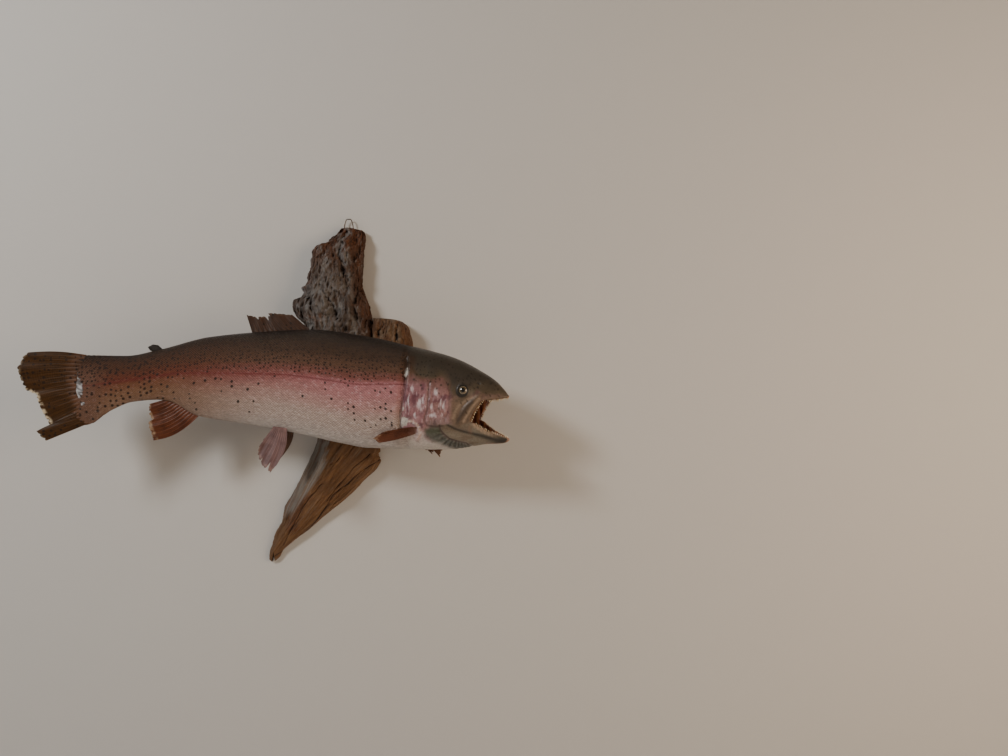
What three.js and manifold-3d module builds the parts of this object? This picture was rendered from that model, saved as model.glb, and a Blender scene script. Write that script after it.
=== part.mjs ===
// A mounted rainbow trout with its mouth open, fixed to a piece of driftwood
// that hangs on a wall by a wire loop.
//
// Millimetres, +Z up. The wall is the plane Y = 0 and the mount stands out from
// it towards -Y. The head points to +X and the fish's right flank faces -Y.
// The origin is on the flat back of the driftwood, below the wire loop.
//
// The fish is built straight, in its own frame: X is the station along the
// body, Y is the distance from the middle plane (negative on the right flank)
// and Z is the height. Every finished shape is then bent sideways onto two arcs.

import * as THREE from 'three';
import { mergeVertices } from 'three/addons/utils/BufferGeometryUtils.js';
import Module from 'manifold-3d';

const wasm = await Module();
wasm.setup();

// ---------------------------------------------------------------- dimensions

const GAP = 0.3; // clearance left between neighbouring pieces
const AXIS_FROM_WALL = 92; // middle plane of the straight part of the body
const HEAD_BEND_START = 40;
const HEAD_BEND_RADIUS = 620;
const TAIL_BEND_START = -90;
const TAIL_BEND_RADIUS = 1150;

const GILL_STATION = 120; // rear edge of the gill covers
const STALK_STATION = -239; // front of the tail stalk, behind the anal fin
const TAIL_FIN_STATION = -352; // root of the tail fin
const SNOUT_STATION = 270; // front of the jaws
const BODY_SEGMENTS = 22; // sides of one body ring
const TRUNK_PITCH = 17; // distance between the rings
const HEAD_PITCH = 11;

// Outline of the body: [station, value] pairs, joined by smooth curves.
const BACK_HEIGHT = [
  [-352, 45], [-300, 44.5], [-250, 54.5], [-180, 73], [-100, 81], [-30, 84], [45, 75],
  [115, 60], [185, 41], [228, 20], [250, 6], [262, -6], [270, -16],
];
const BELLY_HEIGHT = [
  [-352, -58], [-318, -36], [-290, -24.5], [-255, -21.5], [-238, -24], [-195, -46],
  [-137, -56], [-48, -72], [15, -86], [57, -93], [140, -94.5], [185, -93], [215, -88],
  [238, -84.5], [256, -83.5], [264, -82], [270, -78.5],
];
const HALF_WIDTH = [
  [-352, 4.2], [-320, 9], [-290, 13.5], [-240, 19], [-180, 28], [-100, 39], [-20, 45],
  [50, 46], [110, 44], [155, 39], [200, 30], [230, 23.5], [250, 16], [264, 8.5], [270, 3.5],
];
// Exponent of the upper and lower half of a body ring: 1 is an ellipse, less is fuller.
const BACK_EXPONENT = [[-352, 0.9], [-250, 1.0], [-50, 1.08], [90, 1.0], [170, 0.78], [270, 0.8]];
const BELLY_EXPONENT = [[-352, 0.9], [-250, 1.0], [-150, 0.9], [0, 0.8], [150, 0.86], [270, 0.9]];

// Mouth: the gape is cut right across, and the hollow between the jaws goes deeper.
const GAPE_CORNER = [217, -50];
const UPPER_LIP = [[226, -32], [234, -20], [247, -19.5], [262, -16], [300, -16]];
const LOWER_LIP = [[300, -77], [269, -76.5], [251, -70], [236, -63], [224, -54]];
const HOLLOW = {
  back: 166,
  front: 276,
  rings: 10,
  segments: 16,
  exponent: 0.8,
  palate: [[166, -52], [190, -38], [212, -24], [234, -12], [248, -12], [262, -17.5], [276, -20]],
  floor: [[166, -57], [190, -67], [212, -78], [234, -79.5], [250, -79.5], [262, -79], [276, -78]],
  halfWidth: [[166, 5], [190, 19], [212, 21], [234, 15.5], [250, 10], [262, 5], [276, 3]],
};

// Side outlines of the pieces of the head: [station, height].
const JAW_REAR_EDGE = [[180, -62], [189, -68], [198, -77], [207, -86], [213, -92], [216, -125]];
const JAW_OUTLINE = [[178, -56.5], [216, -52], [300, -48], [300, -125], ...JAW_REAR_EDGE.toReversed()];
const THROAT_OUTLINE = [[110, -64], [140, -64], [160, -56], [178, -56], ...JAW_REAR_EDGE, [110, -125]];
const GILL_COVER_OUTLINE = [
  [120, 14], [134, 8], [152, 3], [158, -14], [156, -36], [150, -52], [143, -61], [134, -56], [125, -47],
  [120, -38],
];
const MAXILLA_OUTLINE = [
  [244, -12], [230, -10], [218, -18], [206, -30], [198, -41], [195, -52], [198, -57], [204, -57],
  [217, -53], [234, -37], [238, -24], [244, -24],
];
const GILL_COVER = { thickness: 3.2, proud: 1.2 };
const MAXILLA = { thickness: 4.2, proud: 1.0 };
const SEAT_PROUD = 5; // a seat is cut well clear of the skin
const MIDDLE_GAP = 2; // what is cut on one flank stops short of the middle plane
const BODY_REACH = 90; // side distance that clears the widest part of the body

const EYE = { station: 206, height: -7, radius: 9.4, sunk: 6.2, segments: 14, rings: 7 };
const TOOTH = { radius: 0.9, length: 3.4, sunk: 1.2, pitch: 5.2, sides: 4 };
const TONGUE = { station: 226, height: -76, length: 50, width: 15, depth: 12, segments: 12, rings: 7 };

// Teeth: the lip they stand on, how far they are set in from the skin and where they point.
const SNOUT_TEETH = {
  lip: [[267, -16], [262, -16], [247, -19.5], [243, -19.6]], inset: 2.4, points: [0.1, 0, -1],
};
const MAXILLA_TEETH = { lip: [[234, -20], [226, -32], [217, -50]], inset: 2, points: [0.78, 0, -0.62] };
const JAW_TEETH = {
  lip: [[269, -76.5], [251, -70], [236, -63], [224, -54]], inset: 2.6, points: [0, 0, 1],
};

// Fins: the root line and the free edge both run from the first ray to the last. The sides
// are distances from the middle plane at the first and last ray, and the bow bends the first rays.
const FLAT = [0, 0];
const FINS = {
  tail_fin: {
    root: [[-352.3, 45], [-352.3, -57.5]],
    edge: [
      [-428, 48], [-436, 40], [-441, 26], [-437, 6], [-430, -7], [-420, -12], [-411, -36], [-405, -48],
      [-400, -56], [-409, -60], [-418, -65], [-413, -71], [-405, -79],
    ],
    rootSide: FLAT, edgeSide: FLAT, bow: [0, 3], rays: 16, rows: 5, thick: 7.5, thin: 1.2,
  },
  dorsal_fin: {
    root: [[-28, 79], [-118, 76]],
    edge: [[-60, 106], [-77, 107.5], [-96, 109], [-93, 104.5], [-110, 103], [-127, 105.5]],
    rootSide: FLAT, edgeSide: FLAT, bow: FLAT, rays: 12, rows: 3, thick: 4, thin: 1.2,
  },
  adipose_fin: {
    root: [[-244, 50], [-256, 48]],
    edge: [[-255, 60], [-262, 61], [-269, 57], [-266, 52]],
    rootSide: FLAT, edgeSide: FLAT, bow: FLAT, rays: 5, rows: 3, thick: 4, thin: 2,
  },
  anal_fin: {
    root: [[-194, -42], [-240, -19]],
    edge: [[-262, -81], [-266, -67], [-269, -53], [-265, -49], [-269, -38], [-267, -27]],
    rootSide: FLAT, edgeSide: FLAT, bow: [0, -9], rays: 10, rows: 4, thick: 4, thin: 1.2,
  },
  pelvic_fin_right: {
    root: [[-62, -62], [-82, -60]],
    edge: [[-75, -117], [-84, -127], [-91, -121], [-99, -114], [-103, -101], [-101, -89]],
    rootSide: [-19, -17], edgeSide: [-30, -26], bow: [6, 0], rays: 8, rows: 4, thick: 4, thin: 1.2,
  },
  pelvic_fin_left: {
    root: [[-62, -62], [-82, -60]],
    edge: [[-85, -111], [-94, -121], [-101, -115], [-109, -108], [-113, -95], [-111, -83]],
    rootSide: [19, 17], edgeSide: [30, 26], bow: [6, 0], rays: 8, rows: 4, thick: 4, thin: 1.2,
  },
  pectoral_fin_right: {
    root: [[132, -69], [134, -54]],
    edge: [[79, -82], [71, -75], [82, -68], [90, -65]],
    rootSide: [-29, -34], edgeSide: [-44, -46], bow: FLAT, rays: 6, rows: 5, thick: 5, thin: 1.4,
  },
  pectoral_fin_left: {
    root: [[140, -84], [124, -80]],
    edge: [[159, -98], [155, -109], [146, -98], [145, -106], [137, -100], [128, -97]],
    rootSide: [20, 25], edgeSide: [29, 31], bow: FLAT, rays: 8, rows: 3, thick: 4, thin: 1.4,
  },
};

// Driftwood: [height, value] pairs for its edges and its depth from the wall.
const WOOD_JOINT_HEIGHT = -30; // behind the fish
const WOOD_TOP_HEIGHT = 250;
const WOOD_TIP_HEIGHT = -284;
const BARK_LEFT = [
  [-30, -50], [40, -58], [98, -63.5], [110, -75], [123, -80], [134, -80], [141, -67.5], [148, -63],
  [155, -66],
  [160, -60], [180, -56], [194, -53], [209, -51], [221, -47], [226, -33], [235, -20], [243, -9], [250, -2],
];
const BARK_RIGHT = [
  [-30, 66], [60, 60], [104, 46.5], [130, 41], [150, 33], [163, 29.5], [190, 32], [240, 34], [247, 32],
  [250, 22],
];
const BARK_DEPTH = [[-30, 50], [60, 52], [130, 50], [180, 44], [220, 34], [250, 20]];
const PRONG_LEFT = [
  [-284, -118], [-280, -121.5], [-273, -121], [-253, -115.5], [-239, -113], [-219, -101.5], [-201, -99.5],
  [-171, -83], [-136, -65], [-110, -53], [-85, -45], [-30, -50],
];
const PRONG_RIGHT = [
  [-284, -112], [-275, -103], [-265, -97], [-250, -80], [-232, -55.5], [-210, -31], [-183, 3], [-153, 33.5],
  [-124, 59], [-103, 58], [-30, 66],
];
const PRONG_DEPTH = [[-284, 7], [-250, 14], [-200, 24], [-140, 36], [-84, 45], [-30, 50]];
const BARK = { levels: 27, segments: 14, edge: 6, squareness: 2.4, fullness: 0.5 };
const PLATES = {
  across: 2.6, acrossWave: 0.19, sway: 0.9, swayWave: 0.045, along: 1.8, alongWave: 0.11, slant: 0.07,
};
const CREVICE = { depth: 7, width: 5 };
const CREVICES = [
  [[2, 178], [17, 149]], [[-18, 140], [-4, 104]], [[-46, 136], [-40, 112]], [[10, 225], [12, 196]],
  [[24, 150], [20, 100]],
];
// The grey facet meets the front at the ridge, a share of the width.
const PRONG = { levels: 21, segments: 12, edge: 3, least: 2.5, ridge: 0.26, fall: 0.4, grain: 0.8 };
const PRONG_GRAIN_WAVE = [0.55, -0.42];
const KNOT = {
  left: 44, core: 58, right: 111, low: 30, high: 106, depth: 44, lean: 0.1, taper: 0.17, taperFrom: 62,
  levels: 10, segments: 10, edge: 6, squareness: 3, fullness: 0.4, swell: 2,
};
const KNOT_WAVE = [0.25, 0.12];
const BACK_INSET = 2; // the sides of the wood lean in towards its flat back

const LOOP = {
  left: 0.6, right: 14.2, foot: 238, shoulder: 255, crown: 267, fromWall: 6, radius: 0.8, bore: 1.2,
  toe: 1, rise: 8, crownHalf: 4, crownDrop: 2.2, steps: 14, sides: 4,
};

// ------------------------------------------------------------------ material

function finish(color, roughness = 0.6, metalness = 0) {
  return new THREE.MeshStandardMaterial({ color, roughness, metalness, flatShading: true });
}

const FINISHES = {
  back: finish(0x5b4f45, 0.4),
  flank: finish(0xb08a80, 0.4),
  gill: finish(0xb4838c, 0.3),
  jaw: finish(0x77736a, 0.4),
  fin: finish(0x8a5a3a, 0.5),
  tailFin: finish(0x7d5a2e, 0.5),
  adipose: finish(0x2a2624, 0.5),
  eye: finish(0x1b1a18, 0.05),
  bark: finish(0x6e5a4c, 0.9),
  wood: finish(0x8a6546, 0.85),
  wire: finish(0x4a4540, 0.4, 0.9),
};

// ------------------------------------------------------------------- helpers

// A smooth curve through [place, value] pairs that never overshoots them.
function smoothCurve(pairs) {
  const slopes = pairs.slice(1).map(([x, y], i) => (y - pairs[i][1]) / (x - pairs[i][0]));
  const tangents = pairs.map((_, i) => {
    if (i === 0) return slopes[0];
    if (i === pairs.length - 1) return slopes[i - 1];
    const [before, after] = [slopes[i - 1], slopes[i]];
    return before * after <= 0 ? 0 : (2 * before * after) / (before + after);
  });
  return (place) => {
    const last = pairs.length - 2;
    let i = 0;
    while (i < last && place > pairs[i + 1][0]) i += 1;
    const [x0, y0] = pairs[i];
    const [x1, y1] = pairs[i + 1];
    const s = THREE.MathUtils.clamp((place - x0) / (x1 - x0), 0, 1);
    const reach = x1 - x0;
    const rise = s * s * (3 - 2 * s);
    return y0 + (y1 - y0) * rise + reach * s * (1 - s) * (tangents[i] * (1 - s) - tangents[i + 1] * s);
  };
}

// The point at a share of the length of a polyline of [station, height] pairs.
function alongPolyline(points, share) {
  const steps = points.slice(1).map(([x, y], i) => Math.hypot(x - points[i][0], y - points[i][1]));
  let left = share * steps.reduce((sum, step) => sum + step, 0);
  let i = 0;
  while (i < steps.length - 1 && left > steps[i]) {
    left -= steps[i];
    i += 1;
  }
  const s = Math.min(left / steps[i], 1);
  const [a, b] = [points[i], points[i + 1]];
  return [a[0] + (b[0] - a[0]) * s, a[1] + (b[1] - a[1]) * s];
}

function signedPower(value, exponent) {
  return Math.sign(value) * Math.abs(value) ** exponent;
}

function spread(from, to, count) {
  return Array.from({ length: count + 1 }, (_, i) => from + ((to - from) * i) / count);
}

// A closed geometry from points and triangles, turned so that its faces point out.
function closedGeometry(points, triangles) {
  const volume = triangles.reduce((sum, [a, b, c]) => {
    return sum + points[a].dot(new THREE.Vector3().crossVectors(points[b], points[c]));
  }, 0);
  const outward = volume < 0 ? triangles.map(([a, b, c]) => [a, c, b]) : triangles;
  const geometry = new THREE.BufferGeometry().setFromPoints(points);
  geometry.setIndex(outward.flat());
  return geometry;
}

// Rings of equal length joined by strips and closed by a fan at each end.
function loft(rings) {
  const count = rings[0].length;
  const points = rings.flat();
  const triangles = [];
  for (let r = 0; r + 1 < rings.length; r += 1) {
    for (let i = 0; i < count; i += 1) {
      const next = (i + 1) % count;
      const [a, b] = [r * count + i, r * count + next];
      triangles.push([a, b, b + count], [a, b + count, a + count]);
    }
  }
  for (const [ring, turn] of [[0, 1], [rings.length - 1, -1]]) {
    const middle = rings[ring].reduce((sum, p) => sum.add(p), new THREE.Vector3()).divideScalar(count);
    points.push(middle);
    for (let i = 0; i < count; i += 1) {
      const [a, b] = [ring * count + i, ring * count + ((i + 1) % count)];
      triangles.push(turn > 0 ? [b, a, points.length - 1] : [a, b, points.length - 1]);
    }
  }
  return closedGeometry(points, triangles);
}

// A closed plate between two grids of points, [row][column], of the same size.
function plate(front, back) {
  const [rows, columns] = [front.length, front[0].length];
  const points = [...front.flat(), ...back.flat()];
  const at = (side, row, column) => side * rows * columns + row * columns + column;
  const triangles = [];
  const quad = (a, b, c, d) => triangles.push([a, b, c], [a, c, d]);
  for (let r = 0; r + 1 < rows; r += 1) {
    for (let c = 0; c + 1 < columns; c += 1) {
      quad(at(0, r, c), at(0, r, c + 1), at(0, r + 1, c + 1), at(0, r + 1, c));
      quad(at(1, r, c), at(1, r + 1, c), at(1, r + 1, c + 1), at(1, r, c + 1));
    }
  }
  const rim = [];
  for (let c = 0; c < columns - 1; c += 1) rim.push([0, c]);
  for (let r = 0; r < rows - 1; r += 1) rim.push([r, columns - 1]);
  for (let c = columns - 1; c > 0; c -= 1) rim.push([rows - 1, c]);
  for (let r = rows - 1; r > 0; r -= 1) rim.push([r, 0]);
  rim.forEach(([r, c], i) => {
    const [nextRow, nextColumn] = rim[(i + 1) % rim.length];
    quad(at(0, r, c), at(1, r, c), at(1, nextRow, nextColumn), at(0, nextRow, nextColumn));
  });
  return closedGeometry(points, triangles);
}

function toSolid(geometry) {
  const bare = geometry.index ? geometry.clone() : geometry;
  bare.deleteAttribute('normal');
  bare.deleteAttribute('uv');
  const merged = mergeVertices(bare, 1e-4);
  return new wasm.Manifold(new wasm.Mesh({
    numProp: 3,
    vertProperties: Float32Array.from(merged.attributes.position.array),
    triVerts: Uint32Array.from(merged.index.array),
  }));
}

function toGeometry(solid) {
  const mesh = solid.getMesh();
  const geometry = new THREE.BufferGeometry();
  const positions = new Float32Array(mesh.numVert * 3);
  for (let i = 0; i < mesh.numVert; i += 1) {
    for (let k = 0; k < 3; k += 1) positions[i * 3 + k] = mesh.vertProperties[i * mesh.numProp + k];
  }
  geometry.setAttribute('position', new THREE.BufferAttribute(positions, 3));
  geometry.setIndex(Array.from(mesh.triVerts));
  return geometry;
}

// The solid's largest body: a cut can leave crumbs thinner than the skin.
function mainBody(solid) {
  return solid.decompose().sort((a, b) => b.volume() - a.volume())[0];
}

// An outline moved outwards by a distance, corner by corner.
function grownOutline(outline, distance) {
  const turn = Math.sign(THREE.ShapeUtils.area(outline.map(([x, y]) => new THREE.Vector2(x, y))));
  const normal = (a, b) => new THREE.Vector2(b[1] - a[1], a[0] - b[0]).normalize().multiplyScalar(turn);
  return outline.map((point, i) => {
    const before = normal(outline.at(i - 1), point);
    const after = normal(point, outline[(i + 1) % outline.length]);
    const middle = before.clone().add(after).normalize();
    const reach = distance / Math.max(middle.dot(before), 0.5);
    return [point[0] + middle.x * reach, point[1] + middle.y * reach];
  });
}

// The side outline run across the body from one distance of the middle plane to another.
function prism(outline, from, to) {
  const shape = new THREE.Shape(outline.map(([x, y]) => new THREE.Vector2(x, y)));
  const geometry = new THREE.ExtrudeGeometry(shape, { depth: to - from, bevelEnabled: false });
  geometry.rotateX(Math.PI / 2);
  geometry.translate(0, to, 0);
  return toSolid(geometry);
}

// ---------------------------------------------------------------- fish frame

const backHeight = smoothCurve(BACK_HEIGHT);
const bellyHeight = smoothCurve(BELLY_HEIGHT);
const halfWidth = smoothCurve(HALF_WIDTH);
const backExponent = smoothCurve(BACK_EXPONENT);
const bellyExponent = smoothCurve(BELLY_EXPONENT);

// Moves a point of the straight fish onto the bent one.
function bend(point) {
  const [station, side, height] = [point.x, point.y, point.z];
  let [x, y, angle] = [station, -AXIS_FROM_WALL, 0];
  if (station > HEAD_BEND_START) {
    angle = (station - HEAD_BEND_START) / HEAD_BEND_RADIUS;
    x = HEAD_BEND_START + HEAD_BEND_RADIUS * Math.sin(angle);
    y = -AXIS_FROM_WALL - HEAD_BEND_RADIUS * (1 - Math.cos(angle));
  }
  if (station < TAIL_BEND_START) {
    angle = (station - TAIL_BEND_START) / TAIL_BEND_RADIUS;
    x = TAIL_BEND_START + TAIL_BEND_RADIUS * Math.sin(angle);
    y = -AXIS_FROM_WALL - TAIL_BEND_RADIUS * (1 - Math.cos(angle));
  }
  return point.set(x + side * Math.sin(angle), y + side * Math.cos(angle), height);
}

function bent(geometry) {
  const position = geometry.attributes.position;
  const point = new THREE.Vector3();
  for (let i = 0; i < position.count; i += 1) {
    bend(point.fromBufferAttribute(position, i));
    position.setXYZ(i, point.x, point.y, point.z);
  }
  return geometry;
}

// A ring of the body at a station, grown outwards by a distance all round.
function bodyRing(station, grow = 0) {
  const top = backHeight(station) + grow;
  const low = bellyHeight(station) - grow;
  const side = halfWidth(station) + grow;
  return spread(0, 2 * Math.PI, BODY_SEGMENTS).slice(0, -1).map((angle) => {
    const [across, up] = [Math.cos(angle), Math.sin(angle)];
    const exponent = up > 0 ? backExponent(station) : bellyExponent(station);
    const height = (top + low) / 2 + ((top - low) / 2) * up;
    return new THREE.Vector3(station, side * signedPower(across, exponent), height);
  });
}

function bodyLength(from, to, pitch, grow = 0) {
  const stations = spread(from, to, Math.ceil((to - from) / pitch));
  if (grow > 0) stations.splice(0, stations.length, from - grow, ...stations, to + grow);
  return toSolid(loft(stations.map((station) => bodyRing(station, grow))));
}

// The head, trunk and tail stalk, each as they stand or grown by a distance.
const headLength = (grow) => bodyLength(GILL_STATION, SNOUT_STATION, HEAD_PITCH, grow);
const trunkLength = (grow) => bodyLength(STALK_STATION, GILL_STATION - GAP, TRUNK_PITCH, grow);
const stalkLength = (grow) => bodyLength(TAIL_FIN_STATION, STALK_STATION - GAP, TRUNK_PITCH, grow);

// Distance from the middle plane to the skin at a station and height.
function skinSide(station, height) {
  const [top, low] = [backHeight(station), bellyHeight(station)];
  const up = THREE.MathUtils.clamp((2 * height - top - low) / (top - low), -1, 1);
  const exponent = up > 0 ? backExponent(station) : bellyExponent(station);
  return halfWidth(station) * Math.sqrt(1 - up * up) ** exponent;
}

// ---------------------------------------------------------------------- head

function mouthHollow() {
  const [palate, floor, side] = [HOLLOW.palate, HOLLOW.floor, HOLLOW.halfWidth].map(smoothCurve);
  const rings = spread(HOLLOW.back, HOLLOW.front, HOLLOW.rings).map((station) => {
    const [top, low] = [palate(station), floor(station)];
    return spread(0, 2 * Math.PI, HOLLOW.segments).slice(0, -1).map((angle) => new THREE.Vector3(
      station,
      side(station) * signedPower(Math.cos(angle), HOLLOW.exponent),
      (top + low) / 2 + ((top - low) / 2) * signedPower(Math.sin(angle), HOLLOW.exponent),
    ));
  });
  return toSolid(loft(rings));
}

// A tooth with its root at a point of the straight fish.
function tooth(station, side, height, direction) {
  const geometry = new THREE.ConeGeometry(TOOTH.radius, TOOTH.length, TOOTH.sides);
  const turn = new THREE.Quaternion().setFromUnitVectors(new THREE.Vector3(0, 1, 0), direction);
  geometry.translate(0, TOOTH.length / 2 - TOOTH.sunk, 0);
  geometry.applyQuaternion(turn);
  geometry.translate(station, side, height);
  return toSolid(geometry);
}

// Teeth along a lip, a polyline of [station, height] pairs, on one flank.
function toothRow({ lip, inset, points }, flank) {
  const direction = new THREE.Vector3(...points).normalize();
  const steps = lip.slice(1).map(([x, y], i) => Math.hypot(x - lip[i][0], y - lip[i][1]));
  const length = steps.reduce((sum, step) => sum + step, 0);
  return spread(0, 1, Math.round(length / TOOTH.pitch)).slice(1, -1).map((share) => {
    const [station, height] = alongPolyline(lip, share);
    return tooth(station, flank * (skinSide(station, height) - inset), height, direction);
  });
}

function joined(solid, additions) {
  return additions.reduce((sum, addition) => sum.add(addition), solid);
}

// An outline run right across the body.
function acrossBody(outline) {
  return prism(outline, -BODY_REACH, BODY_REACH);
}

// The share of the head inside an outline, on one flank, around a depth of skin.
function skinPatch(outline, flank, proud, thickness) {
  const [near, far] = [flank * MIDDLE_GAP, flank * BODY_REACH];
  const block = prism(outline, Math.min(near, far), Math.max(near, far));
  const [from, to] = [GILL_STATION - SEAT_PROUD, SNOUT_STATION + SEAT_PROUD];
  return block.intersect(headLength(proud)).subtract(bodyLength(from, to, HEAD_PITCH, -thickness));
}

function skinSeat(outline, flank, thickness) {
  return skinPatch(grownOutline(outline, GAP), flank, SEAT_PROUD, thickness + GAP);
}

function buildHead() {
  const gape = acrossBody([GAPE_CORNER, ...UPPER_LIP, ...LOWER_LIP]);
  let whole = headLength(0).subtract(mouthHollow()).subtract(gape);
  const pieces = {};
  for (const [name, flank] of [['right', -1], ['left', 1]]) {
    const gillCover = skinPatch(GILL_COVER_OUTLINE, flank, GILL_COVER.proud, GILL_COVER.thickness);
    const maxilla = skinPatch(MAXILLA_OUTLINE, flank, MAXILLA.proud, MAXILLA.thickness).subtract(gape);
    pieces[`gill_cover_${name}`] = gillCover;
    pieces[`maxilla_${name}`] = joined(maxilla, toothRow(MAXILLA_TEETH, flank));
    pieces[`eye_${name}`] = eye(flank, 0);
    whole = whole
      .subtract(skinSeat(GILL_COVER_OUTLINE, flank, GILL_COVER.thickness))
      .subtract(skinSeat(MAXILLA_OUTLINE, flank, MAXILLA.thickness))
      .subtract(eye(flank, GAP));
  }
  const aboveJaw = whole.subtract(acrossBody(grownOutline(JAW_OUTLINE, GAP)));
  const jaw = mainBody(whole.intersect(acrossBody(JAW_OUTLINE)));
  const head = mainBody(aboveJaw.subtract(acrossBody(grownOutline(THROAT_OUTLINE, GAP))));
  const bothFlanks = (row) => [-1, 1].flatMap((flank) => toothRow(row, flank));
  pieces.throat = mainBody(aboveJaw.intersect(acrossBody(THROAT_OUTLINE)));
  pieces.head = joined(head, bothFlanks(SNOUT_TEETH));
  pieces.lower_jaw = joined(jaw, [...bothFlanks(JAW_TEETH), tongue()]);
  return pieces;
}

function eye(flank, grow) {
  const side = flank * (skinSide(EYE.station, EYE.height) - EYE.sunk);
  const geometry = new THREE.SphereGeometry(EYE.radius + grow, EYE.segments, EYE.rings);
  geometry.rotateX(Math.PI / 2);
  geometry.translate(EYE.station, side, EYE.height);
  return toSolid(geometry);
}

function tongue() {
  const geometry = new THREE.SphereGeometry(0.5, TONGUE.segments, TONGUE.rings);
  geometry.scale(TONGUE.length, TONGUE.width, TONGUE.depth);
  geometry.translate(TONGUE.station, 0, TONGUE.height);
  return toSolid(geometry);
}

// ---------------------------------------------------------------------- fins

// A fin: rays run from the root line to the free edge.
function fin({ root, edge, rootSide, edgeSide, bow, rays, rows, thick, thin }) {
  const { lerp } = THREE.MathUtils;
  const grid = spread(0, 1, rows).map((out) => spread(0, 1, rays).map((share) => {
    const [rootStation, rootHeight] = alongPolyline(root, share);
    const [edgeStation, edgeHeight] = alongPolyline(edge, share);
    const swell = (1 - share) * Math.sin(Math.PI * out);
    return new THREE.Vector3(
      lerp(rootStation, edgeStation, out) + bow[0] * swell,
      lerp(lerp(...rootSide, share), lerp(...edgeSide, share), out),
      lerp(rootHeight, edgeHeight, out) + bow[1] * swell,
    );
  }));
  const middle = Math.floor(rays / 2);
  const along = grid[0].at(-1).clone().sub(grid[0][0]);
  const outwards = grid.at(-1)[middle].clone().sub(grid[0][middle]);
  const normal = along.cross(outwards).normalize();
  const sheet = (sign) => grid.map((line, row) => line.map((point) => {
    const half = lerp(thick, thin, row / rows) / 2;
    return point.clone().addScaledVector(normal, sign * half);
  }));
  return toSolid(plate(sheet(1), sheet(-1)));
}

function buildFins(clearBody) {
  return Object.fromEntries(Object.entries(FINS).map(([name, shape]) => {
    const solid = fin(shape);
    return [name, name === 'tail_fin' ? solid : mainBody(solid.subtract(clearBody))];
  }));
}

// ----------------------------------------------------------------- driftwood

function distanceToSegment(x, z, [[x0, z0], [x1, z1]]) {
  const length = (x1 - x0) ** 2 + (z1 - z0) ** 2;
  const share = THREE.MathUtils.clamp(((x - x0) * (x1 - x0) + (z - z0) * (z1 - z0)) / length, 0, 1);
  return Math.hypot(x - x0 - (x1 - x0) * share, z - z0 - (z1 - z0) * share);
}

// How far the bark stands out from its mean surface.
function barkRelief(x, z) {
  const sway = PLATES.sway * Math.sin(PLATES.swayWave * z);
  const across = PLATES.across * Math.sin(PLATES.acrossWave * x + sway);
  const along = PLATES.along * Math.sin(PLATES.alongWave * z + PLATES.slant * x);
  const cuts = CREVICES.map((line) => Math.exp(-((distanceToSegment(x, z, line) / CREVICE.width) ** 2)));
  return across + along - CREVICE.depth * Math.max(...cuts);
}

// Shares of the width, closer together near its ends.
function widthShare(step) {
  return 0.5 - 0.5 * Math.cos(Math.PI * step);
}

// A profile across the width: 1 over most of it, falling to 0 at both ends.
function crown(step, { squareness, fullness }) {
  return (1 - Math.abs(2 * step - 1) ** squareness) ** fullness;
}

// Level rings with a flat back on the wall and a front profile given across the width.
function woodLoft(levels, left, right, front, segments) {
  return toSolid(loft(levels.map((z) => {
    const [x0, x1] = [left(z), right(z)];
    const face = spread(0, 1, segments).map((step) => {
      const x = THREE.MathUtils.lerp(x0, x1, widthShare(step));
      return new THREE.Vector3(x, -front(x, z, step), z);
    });
    const inset = Math.min(BACK_INSET, (x1 - x0) / 6);
    return [new THREE.Vector3(x1 - inset, 0, z), new THREE.Vector3(x0 + inset, 0, z), ...face];
  })));
}

function barkSolid(levels, right) {
  const depth = smoothCurve(BARK_DEPTH);
  const front = (x, z, step) => {
    return BARK.edge + Math.max(0, (depth(z) - BARK.edge + barkRelief(x, z)) * crown(step, BARK));
  };
  return woodLoft(levels, smoothCurve(BARK_LEFT), right, front, BARK.segments);
}

function prongSolid() {
  const depth = smoothCurve(PRONG_DEPTH);
  const front = (x, z, step) => {
    const beyond = (widthShare(step) - PRONG.ridge) / (1 - PRONG.ridge);
    const rise = beyond < 0 ? widthShare(step) / PRONG.ridge : 1 - PRONG.fall * beyond ** 2;
    const grain = PRONG.grain * Math.sin(PRONG_GRAIN_WAVE[0] * x + PRONG_GRAIN_WAVE[1] * z);
    return Math.max(PRONG.least, PRONG.edge + (depth(z) - PRONG.edge + grain) * rise);
  };
  const levels = spread(WOOD_TIP_HEIGHT, WOOD_JOINT_HEIGHT - GAP, PRONG.levels);
  return woodLoft(levels, smoothCurve(PRONG_LEFT), smoothCurve(PRONG_RIGHT), front, PRONG.segments);
}

function knotSolid() {
  const middle = (KNOT.low + KNOT.high) / 2;
  const reach = (KNOT.high - KNOT.low) / 2 + 0.5;
  const shoulder = (z) => (1 - Math.abs((z - middle) / reach) ** 5) ** 0.2;
  const left = (z) => KNOT.left + KNOT.lean * (z - middle);
  const right = (z) => {
    const reachOut = KNOT.right - KNOT.core - KNOT.taper * Math.max(0, z - KNOT.taperFrom);
    return KNOT.core + reachOut * shoulder(z);
  };
  const front = (x, z, step) => {
    const wave = KNOT.swell * Math.sin(KNOT_WAVE[0] * x + KNOT_WAVE[1] * z);
    return KNOT.edge + (KNOT.depth - KNOT.edge + wave) * crown(step, KNOT) * shoulder(z);
  };
  return woodLoft(spread(KNOT.low, KNOT.high, KNOT.levels), left, right, front, KNOT.segments);
}

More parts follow.
